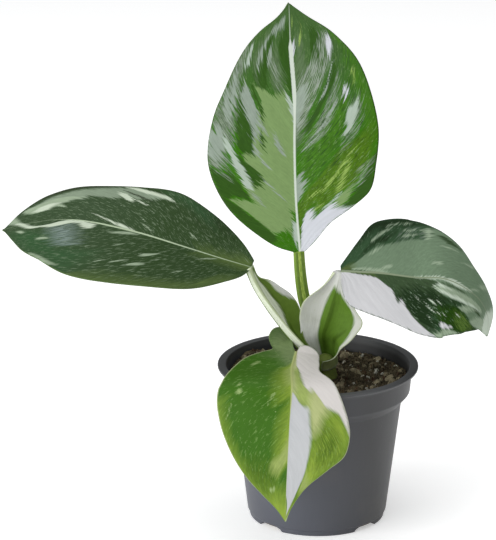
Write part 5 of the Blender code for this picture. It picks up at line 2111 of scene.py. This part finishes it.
LEFT_STALK_SKIN = PlantSkin(
    roughness=0.45, fresh=(0.7, 0.73, 0.62), deep=(0.6, 0.66, 0.5), fleck=(0.5, 0.57, 0.4),
    edge=(0.32, 0.38, 0.2), under=(0.3, 0.38, 0.18), under_share=0.0, across_mm=0.6, along_mm=18.0,
    tints={
        Tone.GREEN: Tint((0.1, 0.17, 0.022), blur_mm=1.0, jag_mm=1.0),
        Tone.DARK: Tint((0.055, 0.1, 0.01), blur_mm=1.0, jag_mm=0.8),
        Tone.WHITE: Tint((0.54, 0.55, 0.51), blur_mm=0.8, jag_mm=0.8),
    },
)
RIGHT_STALK_SKIN = PlantSkin(
    roughness=0.45, fresh=(0.5, 0.52, 0.44), deep=(0.52, 0.53, 0.5), fleck=(0.42, 0.47, 0.32),
    edge=(0.42, 0.47, 0.3), edge_mm=0.6, under=(0.42, 0.46, 0.32), under_share=0.0, across_mm=0.7,
    along_mm=18.0,
    tints={
        Tone.SAGE: Tint((0.26, 0.3, 0.12), blur_mm=1.0, jag_mm=0.6),
        Tone.GREEN: Tint((0.085, 0.165, 0.018), blur_mm=1.2, jag_mm=1.0),
        # On this stalk DARK is painted shade in the gutter.
        Tone.DARK: Tint((0.05, 0.1, 0.008), blur_mm=1.0, jag_mm=0.8),
        Tone.GOLD: Tint((0.15, 0.28, 0.034), blur_mm=5.0, jag_mm=1.0),
        # On this stalk CREAM is painted light: a near-white that lifts the shade low on the left wing.
        Tone.CREAM: Tint((0.88, 0.89, 0.86), blur_mm=4.0, jag_mm=1.0),
    },
)
STEM_SKIN = PlantSkin(
    roughness=0.55, fresh=(0.17, 0.195, 0.05), deep=(0.2, 0.26, 0.06), fleck=(0.16, 0.14, 0.07),
    fleck_share=0.6, under_share=0.0, across_mm=0.8, along_mm=6.0,
)
LEFT_STALK_MARKINGS: tuple[Marking, ...] = (
    Patch(Tone.GREEN, ((0, -34), (50, -36), (90, -42), (100, -60), (100, 110), (0, 110)), face=Face.LOWER),
    Patch(Tone.GREEN, (
        (0, -110), (36, -110), (40, 10), (46, 34), (60, 40), (75, 44), (88, 42), (94, 10), (95, -110),
        (100, -110), (100, 110), (86, 100), (76, 84), (66, 80), (60, 86), (55, 110), (0, 110),
    ), face=Face.UPPER),
    Stroke(Tone.DARK, ((5, 10), (30, 16), (36, 30)), 1.6, face=Face.UPPER),
    Stroke(Tone.DARK, ((37, -60), (41, 10), (47, 36), (60, 43), (75, 47), (90, 45)), 0.5, face=Face.UPPER),
    Patch(Tone.WHITE, ((47, 110), (53, 88), (60, 78), (68, 76), (76, 84), (82, 110)), face=Face.UPPER),
    Stroke(Tone.GREEN, ((15, -27), (50, -28), (80, -29)), 0.5, face=Face.LOWER),
)
RIGHT_STALK_MARKINGS: tuple[Marking, ...] = (
    Patch(Tone.GREEN, (
        (0, 2), (30, 4), (62, 5), (86, 5), (80, 30), (68, 60), (56, 74), (42, 84), (28, 91), (14, 95),
        (0, 97),
    ), face=Face.UPPER),
    # Painted shade: a dark line down the gutter's crease, and a darker band in the gutter's lower half.
    Stroke(Tone.DARK, ((0, 2), (40, 2), (90, 3)), 2.2, face=Face.UPPER),
    Stroke(Tone.DARK, ((10, 30), (30, 45), (45, 62)), 2.0, face=Face.UPPER),
    Patch(Tone.GOLD, ((0, 20), (14, 24), (18, 80), (0, 90)), face=Face.UPPER),
    # Painted light: the left wing painted near-white low down, where shade falls.
    Patch(Tone.CREAM, ((0, -110), (42, -110), (34, -34), (0, -28)), face=Face.UPPER),
    Patch(Tone.SAGE, ((0, 0), (20, 10), (30, 50), (26, 110), (0, 110)), face=Face.LOWER),
)
TOP_RIB: tuple[Spot, ...] = (
    (0.0, 0.5), (0.3, 0.42), (0.64, 0.46), (0.71, 0.8), (0.86, 0.8), (0.885, 0.15), (1.0, 0.0),
)
LEFT_RIB: tuple[Spot, ...] = (
    (0.0, 0.15), (0.3, 0.35), (0.5, 0.6), (0.66, 0.6), (0.76, 0.3), (0.84, 0.0), (1.0, 0.0),
)
FRONT_RIB: tuple[Spot, ...] = ((0.0, 0.9), (0.4, 0.9), (0.5, 0.5), (0.6, 0.0), (1.0, 0.0))

LEAVES = (
    Leaf(
        "leaf_top", "leaf_green", TOP_SHAPE, TOP_SKIN, TOP_MARKINGS,
        seed=1.0, aging=(0.55, 0.80), rib_run=TOP_RIB,
    ),
    Leaf(
        "leaf_left", "leaf_dark", LEFT_SHAPE, LEFT_SKIN, LEFT_MARKINGS,
        seed=2.0, rib_width=0.0022, rib_run=LEFT_RIB,
    ),
    Leaf(
        "leaf_right", "leaf_sage", RIGHT_SHAPE, RIGHT_SKIN, RIGHT_MARKINGS,
        seed=3.0, rib_width=0.0020, quilting=0.00002,
    ),
    Leaf(
        "leaf_front", "leaf_lime", FRONT_SHAPE, FRONT_SKIN, FRONT_MARKINGS,
        seed=4.0, rib_width=0.0016, rib_run=FRONT_RIB, quilting=0.00001,
    ),
)
STALKS = (
    Stalk("petiole_top", "stalk_green", TOP_STALK, GREEN_STALK_SKIN, (), seed=5.0),
    Stalk("petiole_left", "stalk_white", LEFT_STALK, LEFT_STALK_SKIN, LEFT_STALK_MARKINGS, seed=6.0),
    Stalk("petiole_right", "stalk_white", RIGHT_STALK, RIGHT_STALK_SKIN, RIGHT_STALK_MARKINGS, seed=7.0),
    Stalk("petiole_front", "stalk_white", FRONT_STALK, GREEN_STALK_SKIN, (), seed=8.0),
)
SOIL_BITS = (
    Crumbs("soil_crumbs", Earth(light=(0.10, 0.082, 0.048)), 2600, 0.0010, 0.0034, (1.0, 0.9, 0.8), seed=11),
    Crumbs(
        "soil_lumps", Earth(light=(0.30, 0.26, 0.17), dark=(0.07, 0.055, 0.032)),
        170, 0.0030, 0.0062, (1.0, 0.85, 0.7), seed=15, roundness=2,
    ),
    Crumbs(
        "soil_bark", Earth(roughness=0.85, light=(0.10, 0.06, 0.035), dark=(0.02, 0.012, 0.008)),
        260, 0.0025, 0.0060, (1.0, 0.45, 0.22), seed=12,
    ),
    Crumbs(
        "soil_perlite", Earth(roughness=0.8, light=(0.42, 0.41, 0.36), dark=(0.22, 0.21, 0.17)),
        110, 0.0014, 0.0034, (1.0, 0.9, 0.8), seed=13, roundness=2,
    ),
    Crumbs(
        "soil_fibres", Earth(roughness=0.8, light=(0.22, 0.15, 0.08), dark=(0.08, 0.05, 0.03)),
        170, 0.0040, 0.0100, (1.0, 0.06, 0.06), seed=14,
    ),
)


def main() -> None:
    """Builds every piece in order."""
    logging.basicConfig(level=logging.INFO, format="%(message)s")
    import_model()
    collection = bpy.data.collections.new("philodendron_looks")
    bpy.context.scene.collection.children.link(collection)
    maker = Maker(collection)
    Studio().build()
    pot = NurseryPot(Plastic())
    pot.build(maker)
    PottingSoil(pot, Earth(roughness=0.95), SOIL_BITS).build(maker)
    Stem(STEM_PATH, STEM_RADII, STEM_SKIN).build(maker)
    for part in (*STALKS, *LEAVES):
        part.build(maker)


if __name__ == "__main__":
    main()
